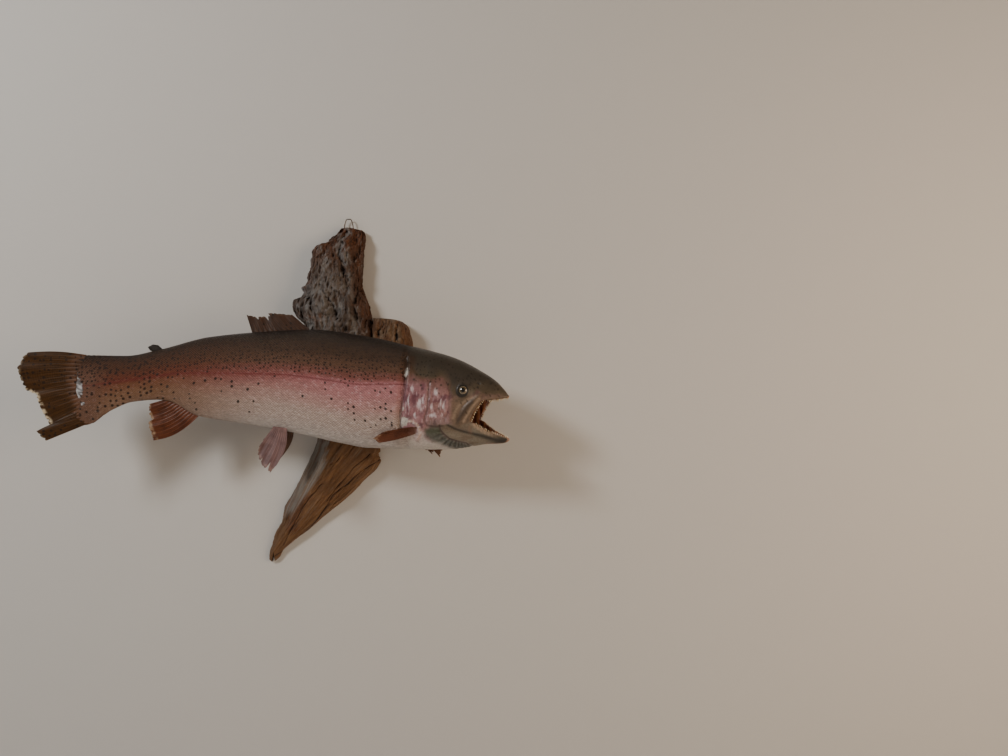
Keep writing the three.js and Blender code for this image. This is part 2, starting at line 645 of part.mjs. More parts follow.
function buildDriftwood(clearFish) {
  const levels = spread(WOOD_JOINT_HEIGHT, WOOD_TOP_HEIGHT, BARK.levels);
  const barkRight = smoothCurve(BARK_RIGHT);
  const clearRight = (z) => barkRight(z) + GAP + BACK_INSET;
  const clearBark = woodLoft(levels, () => -2 * BODY_REACH, clearRight, () => BODY_REACH, 2);
  const bark = barkSolid(levels, barkRight);
  return {
    driftwood_bark: mainBody(bark.subtract(clearFish).subtract(wireLoop(LOOP.bore))),
    driftwood_prong: mainBody(prongSolid().subtract(clearFish)),
    driftwood_knot: mainBody(knotSolid().subtract(clearBark).subtract(clearFish)),
  };
}

// The wire that hangs over the nail, with both feet let into the top of the wood.
function wireLoop(radius) {
  const middle = (LOOP.left + LOOP.right) / 2;
  const foot = [LOOP.toe, LOOP.foot];
  const side = [[0, LOOP.foot + LOOP.rise], [0, LOOP.shoulder]];
  const route = [
    ...[foot, ...side].map(([x, z]) => [LOOP.left + x, z]),
    [middle - LOOP.crownHalf, LOOP.crown - LOOP.crownDrop],
    [middle, LOOP.crown - LOOP.radius],
    [middle + LOOP.crownHalf, LOOP.crown - LOOP.crownDrop],
    ...[foot, ...side].toReversed().map(([x, z]) => [LOOP.right - x, z]),
  ].map(([x, z]) => new THREE.Vector3(x, -LOOP.fromWall, z));
  const section = new THREE.Shape().absarc(0, 0, radius, 0, 2 * Math.PI);
  return toSolid(new THREE.ExtrudeGeometry(section, {
    steps: LOOP.steps,
    curveSegments: LOOP.sides,
    bevelEnabled: false,
    extrudePath: new THREE.CatmullRomCurve3(route),
  }));
}

// ------------------------------------------------------------------ assembly

const part = new THREE.Group();

function place(name, geometry, material) {
  const mesh = new THREE.Mesh(geometry, material);
  mesh.name = name;
  part.add(mesh);
}

const HEAD_FINISHES = {
  head: 'back',
  throat: 'jaw',
  lower_jaw: 'jaw',
  maxilla_right: 'jaw',
  maxilla_left: 'jaw',
  gill_cover_right: 'gill',
  gill_cover_left: 'gill',
  eye_right: 'eye',
  eye_left: 'eye',
};
for (const [name, solid] of Object.entries(buildHead())) {
  place(name, bent(toGeometry(solid)), FINISHES[HEAD_FINISHES[name]]);
}

place('trunk', bent(toGeometry(trunkLength(0))), FINISHES.flank);
place('tail_stalk', bent(toGeometry(stalkLength(0))), FINISHES.flank);

const clearBody = stalkLength(GAP).add(trunkLength(GAP)).add(headLength(GAP));
for (const [name, solid] of Object.entries(buildFins(clearBody))) {
  const material = { tail_fin: FINISHES.tailFin, adipose_fin: FINISHES.adipose }[name] ?? FINISHES.fin;
  place(name, bent(toGeometry(solid)), material);
}

const clearFish = toSolid(bent(toGeometry(clearBody)));
for (const [name, solid] of Object.entries(buildDriftwood(clearFish))) {
  place(name, toGeometry(solid), name === 'driftwood_prong' ? FINISHES.wood : FINISHES.bark);
}
place('hanger_loop', toGeometry(wireLoop(LOOP.radius)), FINISHES.wire);

export default part;
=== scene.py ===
"""A mounted rainbow trout on driftwood: its skin, scales, fins, eyes, teeth, wood and wire.

The fish is built straight, in a frame of its own: the first coordinate is the station along
the body, the second the distance from the middle plane (negative on the right flank) and the
third the height. Lengths are in millimetres until `Pose.bend` bends the fish sideways and
turns them into metres of the row frame.
"""

import logging
import math
from dataclasses import dataclass
from enum import Enum
from functools import cached_property
from typing import Callable, Iterable, Sequence

import bpy
import numpy as np
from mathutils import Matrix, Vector, noise

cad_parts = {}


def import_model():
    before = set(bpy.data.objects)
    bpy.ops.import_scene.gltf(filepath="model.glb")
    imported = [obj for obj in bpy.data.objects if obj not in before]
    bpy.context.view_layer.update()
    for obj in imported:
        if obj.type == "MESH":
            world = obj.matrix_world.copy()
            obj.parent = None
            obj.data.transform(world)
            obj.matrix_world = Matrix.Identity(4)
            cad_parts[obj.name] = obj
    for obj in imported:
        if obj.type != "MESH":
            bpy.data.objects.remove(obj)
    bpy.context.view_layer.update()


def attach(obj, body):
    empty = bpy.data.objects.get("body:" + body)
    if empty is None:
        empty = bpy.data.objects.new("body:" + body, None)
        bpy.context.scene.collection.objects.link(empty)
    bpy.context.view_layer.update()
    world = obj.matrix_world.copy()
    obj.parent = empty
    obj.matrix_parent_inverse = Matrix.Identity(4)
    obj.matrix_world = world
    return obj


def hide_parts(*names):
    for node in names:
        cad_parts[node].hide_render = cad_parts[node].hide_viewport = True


Array = np.ndarray
Pair = tuple[float, float]
Pairs = Sequence[Pair]
Curve = Callable[[Array], Array]
Point = tuple[float, float, float]
Colour = Point
Object = bpy.types.Object
Material = bpy.types.Material
Tree = bpy.types.NodeTree
Node = bpy.types.Node
Socket = bpy.types.NodeSocket

LOG = logging.getLogger("mounted_trout")
MM = 0.001
SEED = 7
FLESH = (
    "head", "throat", "lower_jaw", "maxilla_right", "maxilla_left", "gill_cover_right", "gill_cover_left",
    "trunk", "tail_stalk",
)


# ------ numbers and curves


def smooth_curve(pairs: Pairs) -> Curve:
    """A smooth curve through (place, value) pairs that never overshoots them.

    Args:
        pairs: the places, in rising order, and their values.

    Returns:
        A function from places to values, which holds its end values beyond the ends.
    """
    places, values = np.array(pairs, dtype=float).T
    slopes = np.diff(values) / np.diff(places)
    before, after = slopes[:-1], slopes[1:]
    total = np.where(before * after > 0, before + after, 1.0)
    inner = np.where(before * after > 0, 2 * before * after / total, 0.0)
    tangents = np.concatenate((slopes[:1], inner, slopes[-1:]))

    def curve(place: Array) -> Array:
        """The value at each place.

        Args:
            place: the places.

        Returns:
            One value for each place.
        """
        i = np.clip(np.searchsorted(places, place) - 1, 0, len(slopes) - 1)
        reach = places[i + 1] - places[i]
        s = np.clip((place - places[i]) / reach, 0.0, 1.0)
        rise = s * s * (3 - 2 * s)
        swing = reach * s * (1 - s) * (tangents[i] * (1 - s) - tangents[i + 1] * s)
        return values[i] + (values[i + 1] - values[i]) * rise + swing

    return curve


def smooth_step(low: float, high: float, value: Array) -> Array:
    """0 below low, 1 above high and a smooth rise between them; low may be the larger."""
    s = np.clip((value - low) / (high - low), 0.0, 1.0)
    return s * s * (3 - 2 * s)


def bell(value: Array, width: float) -> Array:
    """A bell of height 1 at 0 that has nearly died away at twice the width."""
    return np.exp(-((value / width) ** 2))


def line_distance(x: Array, z: Array, line: Pairs) -> Array:
    """The distance from each point to a polyline.

    Args:
        x: first coordinates of the points.
        z: second coordinates of the points.
        line: the polyline's corners.

    Returns:
        One distance for each point.
    """
    nearest = np.full(np.shape(x), np.inf)
    for (x0, z0), (x1, z1) in zip(line[:-1], line[1:]):
        length = (x1 - x0) ** 2 + (z1 - z0) ** 2
        share = np.clip(((x - x0) * (x1 - x0) + (z - z0) * (z1 - z0)) / length, 0.0, 1.0)
        apart = np.hypot(x - x0 - (x1 - x0) * share, z - z0 - (z1 - z0) * share)
        nearest = np.minimum(nearest, apart)
    return nearest


def inside_outline(x: Array, z: Array, outline: Pairs) -> Array:
    """The signed distance to a closed outline: positive inside it, negative outside.

    Args:
        x: first coordinates of the points.
        z: second coordinates of the points.
        outline: the outline's corners, in order.

    Returns:
        One distance for each point.
    """
    within = np.zeros(np.shape(x), dtype=bool)
    closed = [*outline, outline[0]]
    for (x0, z0), (x1, z1) in zip(closed[:-1], closed[1:]):
        if z0 == z1:
            continue
        crosses = (z0 > z) != (z1 > z)
        within ^= crosses & (x < (x1 - x0) * (z - z0) / (z1 - z0) + x0)
    apart = line_distance(x, z, closed)
    return np.where(within, apart, -apart)


def along_line(line: Pairs, shares: Array) -> Array:
    """The points at shares of the length of a polyline, one row for each share.

    Args:
        line: the polyline's corners.
        shares: shares of its length, from 0 to 1.

    Returns:
        One point for each share.
    """
    corners = np.array(line, dtype=float)
    lengths = np.hypot(*np.diff(corners, axis=0).T)
    reached = np.concatenate(([0.0], np.cumsum(lengths))) / lengths.sum()
    return np.column_stack([np.interp(shares, reached, corners[:, k]) for k in range(corners.shape[1])])


def rough(points: Array, pitch: float | Sequence[float], octaves: int = 3, shift: float = 0.0) -> Array:
    """Fractal noise, about -1 to 1: details from the pitch down by octaves, moved by the shift."""
    scaled = points / np.array(pitch) + shift
    return np.array([noise.fractal(row, 1.0, 2.0, octaves) for row in scaled.tolist()])


# ------ meshes


def unit(vectors: Array) -> Array:
    """The vectors of each row, one unit long."""
    return vectors / np.linalg.norm(vectors, axis=-1)[..., None]


def turns(count: int) -> Array:
    """Equal steps of angle round a full turn."""
    return np.linspace(0, 2 * math.pi, count, endpoint=False)


def lattice(*columns: Array | float) -> Array:
    """Points from coordinates of any shapes that fit together, the last axis holding a point."""
    return np.stack(np.broadcast_arrays(*columns), axis=-1)


def tube_faces(rings: int, sides: int) -> Array:
    """The quads that join equal closed rings of points, one after another.

    Args:
        rings: how many rings there are.
        sides: how many points a ring has.

    Returns:
        The corners of each quad, as indices.
    """
    ring, side = np.meshgrid(np.arange(rings - 1), np.arange(sides), indexing="ij")
    here = ring * sides + side
    beside = ring * sides + (side + 1) % sides
    return np.stack([here, beside, beside + sides, here + sides], axis=-1).reshape(-1, 4)


def closed_tube(rings: Sequence[Array] | Array) -> tuple[Array, list[list[int]]]:
    """Rings of equal length joined into a closed body with a fan at each end.

    Args:
        rings: the rings, each with its points in rows of three.

    Returns:
        The points and the faces.
    """
    stack = np.asarray(rings, dtype=float)
    count, sides = stack.shape[:2]
    points = np.vstack([stack.reshape(-1, 3), stack[0].mean(axis=0), stack[-1].mean(axis=0)])
    faces = tube_faces(count, sides).tolist()
    first, last = count * sides, count * sides + 1
    top = (count - 1) * sides
    for i in range(sides):
        j = (i + 1) % sides
        faces.append([j, i, first])
        faces.append([top + i, top + j, last])
    return points, faces


def volume_of(points: Array, faces: Iterable[Sequence[int]]) -> float:
    """The signed volume inside closed faces, negative where they point inwards.

    Args:
        points: the corners, in rows of three.
        faces: the corners of each face, as indices.

    Returns:
        The volume, in the points' unit cubed.
    """
    total = 0.0
    for face in faces:
        corners = points[list(face)]
        for k in range(1, len(corners) - 1):
            total += float(np.dot(corners[0], np.cross(corners[k], corners[k + 1])))
    return total / 6


def linked(name: str, data: bpy.types.ID) -> Object:
    """A new object in the scene, at the origin.

    Args:
        name: the new object's name.
        data: its mesh, light or camera.

    Returns:
        The new object.
    """
    thing = bpy.data.objects.new(name, data)
    bpy.context.scene.collection.objects.link(thing)
    return thing


def add_object(name: str, points: Array, edges: Sequence, faces: Sequence) -> Object:
    """A new mesh object in the scene, at the origin.

    Args:
        name: the new object's name.
        points: the corners, in rows of three.
        edges: the ends of each edge, as indices.
        faces: the corners of each face, as indices.

    Returns:
        The new object.
    """
    mesh = bpy.data.meshes.new(name)
    mesh.from_pydata(np.asarray(points).tolist(), edges, faces)
    return linked(name, mesh)


def make_object(name: str, points: Array, faces: Iterable[Sequence[int]]) -> Object:
    """A smooth closed object in the scene, turned so that its faces point outwards.

    Args:
        name: the object's name.
        points: the corners, in rows of three.
        faces: the corners of each face, as indices.

    Returns:
        The object, at the origin.
    """
    listed = [list(face) for face in faces]
    if volume_of(points, listed) < 0:
        listed = [face[::-1] for face in listed]
    thing = add_object(name, points, [], listed)
    smooth(thing)
    thing.data.validate()
    return thing


def smooth(thing: Object) -> None:
    """Shades all faces of an object smooth."""
    thing.data.polygons.foreach_set("use_smooth", [True] * len(thing.data.polygons))


def read_rows(items: bpy.types.bpy_prop_collection, slot: str) -> Array:
    """One vector of each item of a mesh, in rows of three.

    Args:
        items: the mesh's corners or normals.
        slot: the vector's name.

    Returns:
        One row for each item.
    """
    flat = np.empty(len(items) * 3)
    items.foreach_get(slot, flat)
    return flat.reshape(-1, 3)


def points_of(thing: Object) -> Array:
    """The corners of an object's mesh, in rows of three."""
    return read_rows(thing.data.vertices, "co")


def move_points(thing: Object, points: Array) -> None:
    """Puts the corners of an object's mesh at new places."""
    thing.data.vertices.foreach_set("co", points.ravel())
    thing.data.update()


def store(thing: Object, name: str, values: Array) -> None:
    """Keeps a value, vector or colour for each corner of an object's mesh.

    Args:
        thing: the mesh object.
        name: the attribute's name.
        values: one number for each corner, or rows of three numbers or of four.
    """
    kinds = {1: ("FLOAT", "value"), 3: ("FLOAT_VECTOR", "vector"), 4: ("FLOAT_COLOR", "color")}
    kind, slot = kinds[1 if values.ndim == 1 else values.shape[1]]
    attribute = thing.data.attributes.new(name, kind, "POINT")
    attribute.data.foreach_set(slot, np.asarray(values, dtype=np.float32).ravel())


def applied(thing: Object) -> Object:
    """The object with the result of its modifiers as its plain mesh.

    Args:
        thing: the object.

    Returns:
        The same object.
    """
    bpy.context.view_layer.update()
    depsgraph = bpy.context.evaluated_depsgraph_get()
    mesh = bpy.data.meshes.new_from_object(
        thing.evaluated_get(depsgraph), preserve_all_data_layers=True, depsgraph=depsgraph
    )
    thing.modifiers.clear()
    used = thing.data
    thing.data = mesh
    bpy.data.meshes.remove(used)
    return thing


class Cut(Enum):
    """How one solid works on another."""

    JOIN = "UNION"
    TAKE_AWAY = "DIFFERENCE"


def modified(thing: Object, kind: str, **settings: object) -> Object:
    """The object with the result of one modifier as its plain mesh.

    Args:
        thing: the object.
        kind: the modifier's type.
        settings: the modifier's settings.

    Returns:
        The same object.
    """
    modifier = thing.modifiers.new(kind.lower(), kind)
    for name, value in settings.items():
        setattr(modifier, name, value)
    return applied(thing)


def cut(thing: Object, tool: Object, how: Cut) -> Object:
    """The object with a tool solid joined to it or taken away, which removes the tool.

    Args:
        thing: the object.
        tool: the solid that works on it.
        how: whether it is joined or taken away.

    Returns:
        The same object.
    """
    modified(thing, "BOOLEAN", operation=how.value, solver="MANIFOLD", object=tool)
    bpy.data.objects.remove(tool)
    return thing


def joined(name: str, things: Sequence[Object]) -> Object:
    """One object that holds the meshes of several, which are removed.

    Args:
        name: the new object's name.
        things: the objects.

    Returns:
        The new object.
    """
    points, faces, start = [], [], 0
    for thing in things:
        points.append(points_of(thing))
        faces.extend([start + i for i in polygon.vertices] for polygon in thing.data.polygons)
        start += len(thing.data.vertices)
        bpy.data.objects.remove(thing)
    return add_object(name, np.vstack(points), [], faces)


# ------ the body's form


@dataclass(frozen=True)
class Arc:
    """A stretch of the body that is bent sideways, from a station onwards."""

    start: float
    radius: float


@dataclass(frozen=True)
class Pose:
    """How the straight fish bends sideways onto two arcs and stands off the wall."""

    from_wall: float = 92.0
    head: Arc = Arc(40.0, 620.0)
    tail: Arc = Arc(-90.0, 1150.0)

    def bend(self, straight: Array) -> Array:
        """Bends points of the straight fish.

        Args:
            straight: stations, sides and heights in millimetres, in rows.

        Returns:
            The points in metres of the row frame.
        """
        station, side, height = straight.T
        ahead, behind = station > self.head.start, station < self.tail.start
        start = np.where(ahead, self.head.start, np.where(behind, self.tail.start, station))
        radius = np.where(ahead, self.head.radius, self.tail.radius)
        angle = (station - start) / radius
        x = start + (radius + side) * np.sin(angle)
        y = -self.from_wall - radius + (radius + side) * np.cos(angle)
        return np.column_stack([x, y, height]) * MM

    def straighten(self, placed: Array) -> Array:
        """The inverse of `bend`: points of the row frame in metres, back in the straight fish.

        Args:
            placed: points in metres of the row frame, in rows.

        Returns:
            Their stations, sides and heights in millimetres.
        """
        x, y, height = (placed / MM).T
        straight = np.column_stack([x, y + self.from_wall, height])
        for arc, sign in ((self.head, 1.0), (self.tail, -1.0)):
            across = x - arc.start
            depth = y + self.from_wall + arc.radius
            bent = sign * across > 0
            angle = np.arctan2(across, depth)
            straight[bent, 0] = (arc.start + arc.radius * angle)[bent]
            straight[bent, 1] = (np.hypot(across, depth) - arc.radius)[bent]
        return straight


@dataclass(frozen=True)
class BodyForm:
    """The outline of the straight body, as (station, value) pairs joined by smooth curves."""

    back: Pairs = (
        (-384, 41), (-352, 45), (-300, 44.5), (-250, 54.5), (-180, 73), (-100, 81), (-30, 84), (45, 75),
        (115, 60), (185, 41), (228, 20), (250, 6), (262, -6), (270, -16),
    )
    belly: Pairs = (
        (-384, -60), (-352, -58), (-318, -36), (-290, -24.5), (-255, -21.5), (-238, -24), (-195, -46),
        (-137, -56), (-48, -72), (15, -86), (57, -93), (140, -94.5), (185, -93), (215, -88),
        (238, -84.5), (256, -83.5), (264, -82), (270, -78.5),
    )
    half_width: Pairs = (
        (-396, 0.1), (-384, 0.6), (-370, 2.2), (-352, 4.2), (-320, 9), (-290, 13.5), (-240, 19),
        (-180, 28), (-100, 39), (-20, 45), (50, 46), (110, 44), (155, 39), (200, 30), (230, 23.5),
        (250, 16), (264, 8.5), (270, 3.5),
    )
    back_exponent: Pairs = ((-352, 0.9), (-250, 1.0), (-50, 1.08), (90, 1.0), (170, 0.78), (270, 0.8))
    belly_exponent: Pairs = ((-352, 0.9), (-250, 1.0), (-150, 0.9), (0, 0.8), (150, 0.86), (270, 0.9))
    lateral_line: Pairs = (
        (-352, 0), (-295, 8), (-257, 13), (-226, 17.5), (-187, 18.6), (-126, 18), (-64, 16.6),
        (-26, 12.7), (6, 8), (56, 2), (98, 2.7), (120, 2), (160, 0), (220, -12), (270, -30),
    )
    snout: float = 270.0
    table_span: Point = (-384.0, 271.0, 3.0)
    table_angles: int = 97

    @cached_property
    def curves(self) -> dict[str, Curve]:
        """Each outline as a smooth curve, by its name."""
        names = ("back", "belly", "half_width", "back_exponent", "belly_exponent", "lateral_line")
        return {name: smooth_curve(getattr(self, name)) for name in names}

    def ends(self, station: Array) -> tuple[Array, Array]:
        """The heights of the back and of the belly at stations."""
        return self.curves["back"](station), self.curves["belly"](station)

    def exponent(self, station: Array, up: Array) -> Array:
        """How full a ring is: 1 is an ellipse, less is fuller."""
        upper, lower = self.curves["back_exponent"](station), self.curves["belly_exponent"](station)
        return np.where(up > 0, upper, lower)

    def section(self, station: Array, angle: Array, grow: Array | float = 0.0) -> Array:
        """Points on the body's surface.

        Args:
            station: the stations of the points.
            angle: 0 on the left flank, a quarter turn on the back and half a turn on the right.
            grow: how far outside the surface, or inside it where negative.

        Returns:
            Stations, sides and heights, in rows.
        """
        station, angle, grow = np.broadcast_arrays(station, angle, grow)
        top, low = self.ends(station)
        top, low = top + grow, low - grow
        across, up = np.cos(angle), np.sin(angle)
        reach = np.sign(across) * np.abs(across) ** self.exponent(station, up)
        side = (self.curves["half_width"](station) + grow) * reach
        return np.stack([station, side, (top + low) / 2 + (top - low) / 2 * up], axis=-1)

    def side(self, station: Array, height: Array) -> Array:
        """The distance from the middle plane to the surface at a station and height.

        Args:
            station: the stations, in millimetres.
            height: the heights, in millimetres.

        Returns:
            One distance for each point, in millimetres.
        """
        top, low = self.ends(station)
        up = np.clip((2 * height - top - low) / (top - low), -1.0, 1.0)
        return self.curves["half_width"](station) * np.sqrt(1 - up * up) ** self.exponent(station, up)

    def outward(self, station: Array, height: Array, flank: int) -> Array:
        """The way out of the surface at stations and heights of one flank, one millimetre long.

        Args:
            station: the stations, in millimetres.
            height: the heights, in millimetres.
            flank: -1 for the right flank, 1 for the left.

        Returns:
            One vector for each point.
        """
        slope = (self.side(station + 1, height) - self.side(station - 1, height)) / 2
        fall = (self.side(station, height + 1) - self.side(station, height - 1)) / 2
        return unit(lattice(-slope, 1.0, -fall)) * (1, flank, 1)

    def angle_at(self, straight: Array) -> Array:
        """How far round its flank a point lies: a quarter turn on the back, minus that below.

        Args:
            straight: points of the straight fish, in rows.

        Returns:
            The angles, in radians.
        """
        station, side, height = straight.T
        top, low = self.ends(station)
        up = (2 * height - top - low) / (top - low)
        across = np.abs(side) / self.curves["half_width"](station)
        return np.arctan2(up, across ** (1 / self.exponent(station, up)))

    @cached_property
    def girth_table(self) -> tuple[Array, Array, Array]:
        """Stations, angles from the belly to the back, and the way along the surface from the back.

        Returns:
            The stations, the angles and one length for each pair of them.
        """
        stations = np.arange(*self.table_span)
        angles = np.linspace(-math.pi / 2, math.pi / 2, self.table_angles)
        grid = self.section(stations[:, None], angles[None, :])
        steps = np.hypot(np.diff(grid[..., 1]), np.diff(grid[..., 2]))
        run = np.concatenate([np.zeros((len(stations), 1)), np.cumsum(steps, axis=1)], axis=1)
        return stations, angles, run[:, -1:] - run

    def girth_from_back(self, station: Array, angle: Array) -> Array:
        """The way along the surface from the middle of the back to points on one flank.

        Args:
            station: the stations, in millimetres.
            angle: the angles round the flank, from the belly's -90 degrees to the back's 90, in
                radians.

        Returns:
            One length for each point, in millimetres.
        """
        stations, angles, table = self.girth_table
        i = np.clip((station - stations[0]) / (stations[1] - stations[0]), 0, len(stations) - 1.001)
        j = np.clip((angle - angles[0]) / (angles[1] - angles[0]), 0, len(angles) - 1.001)
        i0, j0 = i.astype(int), j.astype(int)
        fi, fj = i - i0, j - j0
        near = table[i0, j0] * (1 - fj) + table[i0, j0 + 1] * fj
        far = table[i0 + 1, j0] * (1 - fj) + table[i0 + 1, j0 + 1] * fj
        return near * (1 - fi) + far * fi

    def lie(self, straight: Array) -> Array:
        """Where points lie on the unrolled flank, for the markings.

        Args:
            straight: points of the straight fish, in rows.

        Returns:
            The station and the way round from the back, in metres and negative on the right
            flank, and the height: 1 on the back, 0 on the lateral line and -1 on the belly.
        """
        station, side, height = straight.T
        girth = self.girth_from_back(station, self.angle_at(straight)) * np.sign(side + 1e-9)
        line, (top, low) = self.curves["lateral_line"](station), self.ends(station)
        above, below = (height - line) / (top - line), (height - line) / (line - low)
        rise = np.where(height > line, above, below)
        return np.column_stack([station * MM, girth * MM, np.clip(rise, -1.2, 1.2)])


POSE = Pose()
BODY = BodyForm()


# ------ node trees


@dataclass(frozen=True)
class Flow:
    """A node's output, which is reckoned with like a number."""

    weave: "Weaver"
    socket: Socket

    def __add__(self, other: "Value") -> "Flow":
        """The sum."""
        return self.weave.math("ADD", self, other)

    def __sub__(self, other: "Value") -> "Flow":
        """The difference."""
        return self.weave.math("SUBTRACT", self, other)

    def __mul__(self, other: "Value") -> "Flow":
        """The product."""
        return self.weave.math("MULTIPLY", self, other)


Value = float | str | Sequence[float] | Socket | Flow


class Weaver:
    """Adds nodes to one tree and joins them, so that a finish reads as a few short lines."""

    def __init__(self, tree: Tree) -> None:
        """Starts work on a tree."""
        self.tree = tree

    def feed(self, socket: Socket, value: Value) -> None:
        """Joins a value to a socket, or sets the socket where the value is a plain one.

        Args:
            socket: an input socket.
            value: a flow, a socket or a plain value.
        """
        if isinstance(value, Flow):
            value = value.socket
        if isinstance(value, Socket):
            self.tree.links.new(value, socket)
            return
        wide = socket.type == "RGBA" and not isinstance(value, (int, float)) and len(value) == 3
        socket.default_value = (*value, 1.0) if wide else value

    def fill(self, node: Node, **values: Value) -> None:
        """Feeds inputs of a node, by their names with underscores for spaces."""
        for name, value in values.items():
            self.feed(node.inputs[name.replace("_", " ")], value)

    def node(self, kind: str, *values: Value, **named: object) -> Node:
        """A new node.

        Args:
            kind: its type.
            values: what its first inputs take, in their order.
            named: what other inputs take, by names that start with a capital, and the node's
                own settings, by names in small letters.

        Returns:
            The node.
        """
        node = self.tree.nodes.new(kind)
        for name, value in named.items():
            if name.islower():
                setattr(node, name, value)
        for socket, value in zip(node.inputs, values):
            self.feed(socket, value)
        self.fill(node, **{name: value for name, value in named.items() if not name.islower()})
        return node

    def flow(self, kind: str, *values: Value, output: int | str = 0, **named: object) -> Flow:
        """One output of a new node, which is made as `node` makes it."""
        return Flow(self, self.node(kind, *values, **named).outputs[output])

    def math(self, operation: str, first: Value, second: Value = 0.0) -> Flow:
        """The result of a sum on one value or two."""
        return self.flow("ShaderNodeMath", first, second, operation=operation)

    def between(self, value: Value, low: float, high: float, start: Value = 0.0, end: Value = 1.0) -> Flow:
        """A smooth change from start to end as the value goes from low to high."""
        return self.flow("ShaderNodeMapRange", value, low, high, start, end, interpolation_type="SMOOTHSTEP")

    def mix(self, share: Value, first: Value, second: Value, blend: str = "MIX") -> Flow:
        """Two colours blended by a share.

        Args:
            share: how much of the second colour is taken.
            first: the first colour.
            second: the second colour.
            blend: how they are blended.

        Returns:
            The blended colour.
        """
        node = self.node("ShaderNodeMix", share, data_type="RGBA", blend_type=blend, clamp_factor=True)
        self.feed(node.inputs[6], first)
        self.feed(node.inputs[7], second)
        return Flow(self, node.outputs[2])

    def shaded(self, colour: Value, level: Value) -> Flow:
        """A colour made darker or lighter by a level."""
        return self.mix(1.0, colour, self.flow("ShaderNodeCombineXYZ", level, level, level), "MULTIPLY")

    def ramp(self, value: Value, stops: Sequence[tuple[float, Colour]]) -> Flow:
        """A colour that follows a value from 0 to 1 through several stops.

        Args:
            value: what the colour follows.
            stops: places from 0 to 1 with their colours.

        Returns:
            The colour.
        """
        node = self.node("ShaderNodeValToRGB", value)
        node.color_ramp.interpolation = "EASE"
        elements = node.color_ramp.elements
        while len(elements) < len(stops):
            elements.new(0.5)
        for element, (place, colour) in zip(elements, stops):
            element.position = place
            element.color = (*colour, 1.0)
        return Flow(self, node.outputs[0])

    def attribute(self, name: str, output: str = "Vector") -> Flow:
        """A value that the mesh keeps for each corner."""
        return self.flow("ShaderNodeAttribute", attribute_name=name, output=output)

    def place(self) -> Flow:
        """The place on the object, in metres."""
        return self.flow("ShaderNodeTexCoord", output="Object")

    def noise(self, vector: Value, scale: float, detail: float = 3.0, roughness: float = 0.55) -> Flow:
        """Soft noise from 0 to 1."""
        inputs = {"Vector": vector, "Scale": scale, "Detail": detail, "Roughness": roughness}
        return self.flow("ShaderNodeTexNoise", output="Fac", **inputs)

    def dots(
        self, vector: Value, pitch: float, random: float, crowd: Value, sizes: Pair
    ) -> tuple[Flow, Flow, Flow]:
        """Dots strewn over a plane, one to a cell.

        Args:
            vector: the place on the plane.
            pitch: the size of a cell.
            random: how far the dots lie off a grid, from 0 to 1.
            crowd: the share of the cells that have a dot.
            sizes: the smallest and the largest reach of a dot, in cells.

        Returns:
            The distance from the cell's middle, the reach of its dot, and 1 where it has one.
        """
        inputs = {"Vector": vector, "Scale": 1 / pitch, "Randomness": random}
        node = self.node("ShaderNodeTexVoronoi", voronoi_dimensions="2D", **inputs)
        chance, size, _ = self.split(node.outputs["Color"])
        kept = self.math("LESS_THAN", chance, crowd)
        return Flow(self, node.outputs["Distance"]), self.between(size, 0.0, 1.0, *sizes) * kept, kept

    def split(self, vector: Value) -> tuple[Flow, Flow, Flow]:
        """The three numbers of a vector or colour."""
        return tuple(Flow(self, socket) for socket in self.node("ShaderNodeSeparateXYZ", vector).outputs)

    def bump(self, height: Value, distance: float, strength: float = 1.0) -> Flow:
        """A surface direction roughened by a height."""
        return self.flow("ShaderNodeBump", Height=height, Distance=distance, Strength=strength)

    def group(self, tree: Tree, **values: Value) -> dict[str, Flow]:
        """The outputs, by their names, of a node group that takes values in this tree."""
        node = self.node("ShaderNodeGroup", node_tree=tree, **values)
        return {socket.name: Flow(self, socket) for socket in node.outputs}


def new_tree(
    name: str, kind: str, inputs: dict[str, str], outputs: dict[str, str]
) -> tuple[Weaver, dict[str, Flow], dict[str, Socket]]:
    """An empty node group.

    Args:
        name: the group's name.
        kind: Shader or Geometry.
        inputs: the kind of each input socket, by its name.
        outputs: the kind of each output socket, by its name.

    Returns:
        A weaver for its tree, what comes in and the sockets of what goes out, by their names.
    """
    tree = bpy.data.node_groups.new(name, f"{kind}NodeTree")
    for way, sockets in (("INPUT", inputs), ("OUTPUT", outputs)):
        for label, socket in sockets.items():
            tree.interface.new_socket(name=label, in_out=way, socket_type=f"NodeSocket{socket}")
    weave = Weaver(tree)
    given, taken = weave.node("NodeGroupInput"), weave.node("NodeGroupOutput")
    starts = {label: Flow(weave, given.outputs[label]) for label in inputs}
    return weave, starts, {label: taken.inputs[label] for label in outputs}


def grown(thing: Object, tree: Tree, **values: object) -> Object:
    """The object with the result of a Geometry Nodes tree as its plain mesh.

    Args:
        thing: the object that the tree starts from.
        tree: the tree.
        values: what the tree's inputs take, by their names with underscores for spaces.

    Returns:
        The object with its new mesh.
    """
    modifier = thing.modifiers.new("tree", "NODES")
    modifier.node_group = tree
    for item in tree.interface.items_tree:
        key = item.name.replace(" ", "_")
        if item.in_out == "INPUT" and key in values:
            modifier[item.identifier] = values[key]
    return applied(thing)


def new_material(name: str, **constants: Value) -> tuple[Material, Weaver, Node]:
    """A material with one Principled shader.

    Args:
        name: the material's name.
        constants: sockets that stay the same all over, by their names with underscores.

    Returns:
        The material, a weaver for its tree and the shader node.
    """
    material = bpy.data.materials.new(name)
    material.use_nodes = True
    weave, shader = Weaver(material.node_tree), material.node_tree.nodes["Principled BSDF"]
    weave.fill(shader, **{"Roughness": 0.5, **constants})
    return material, weave, shader


# ------ finishes


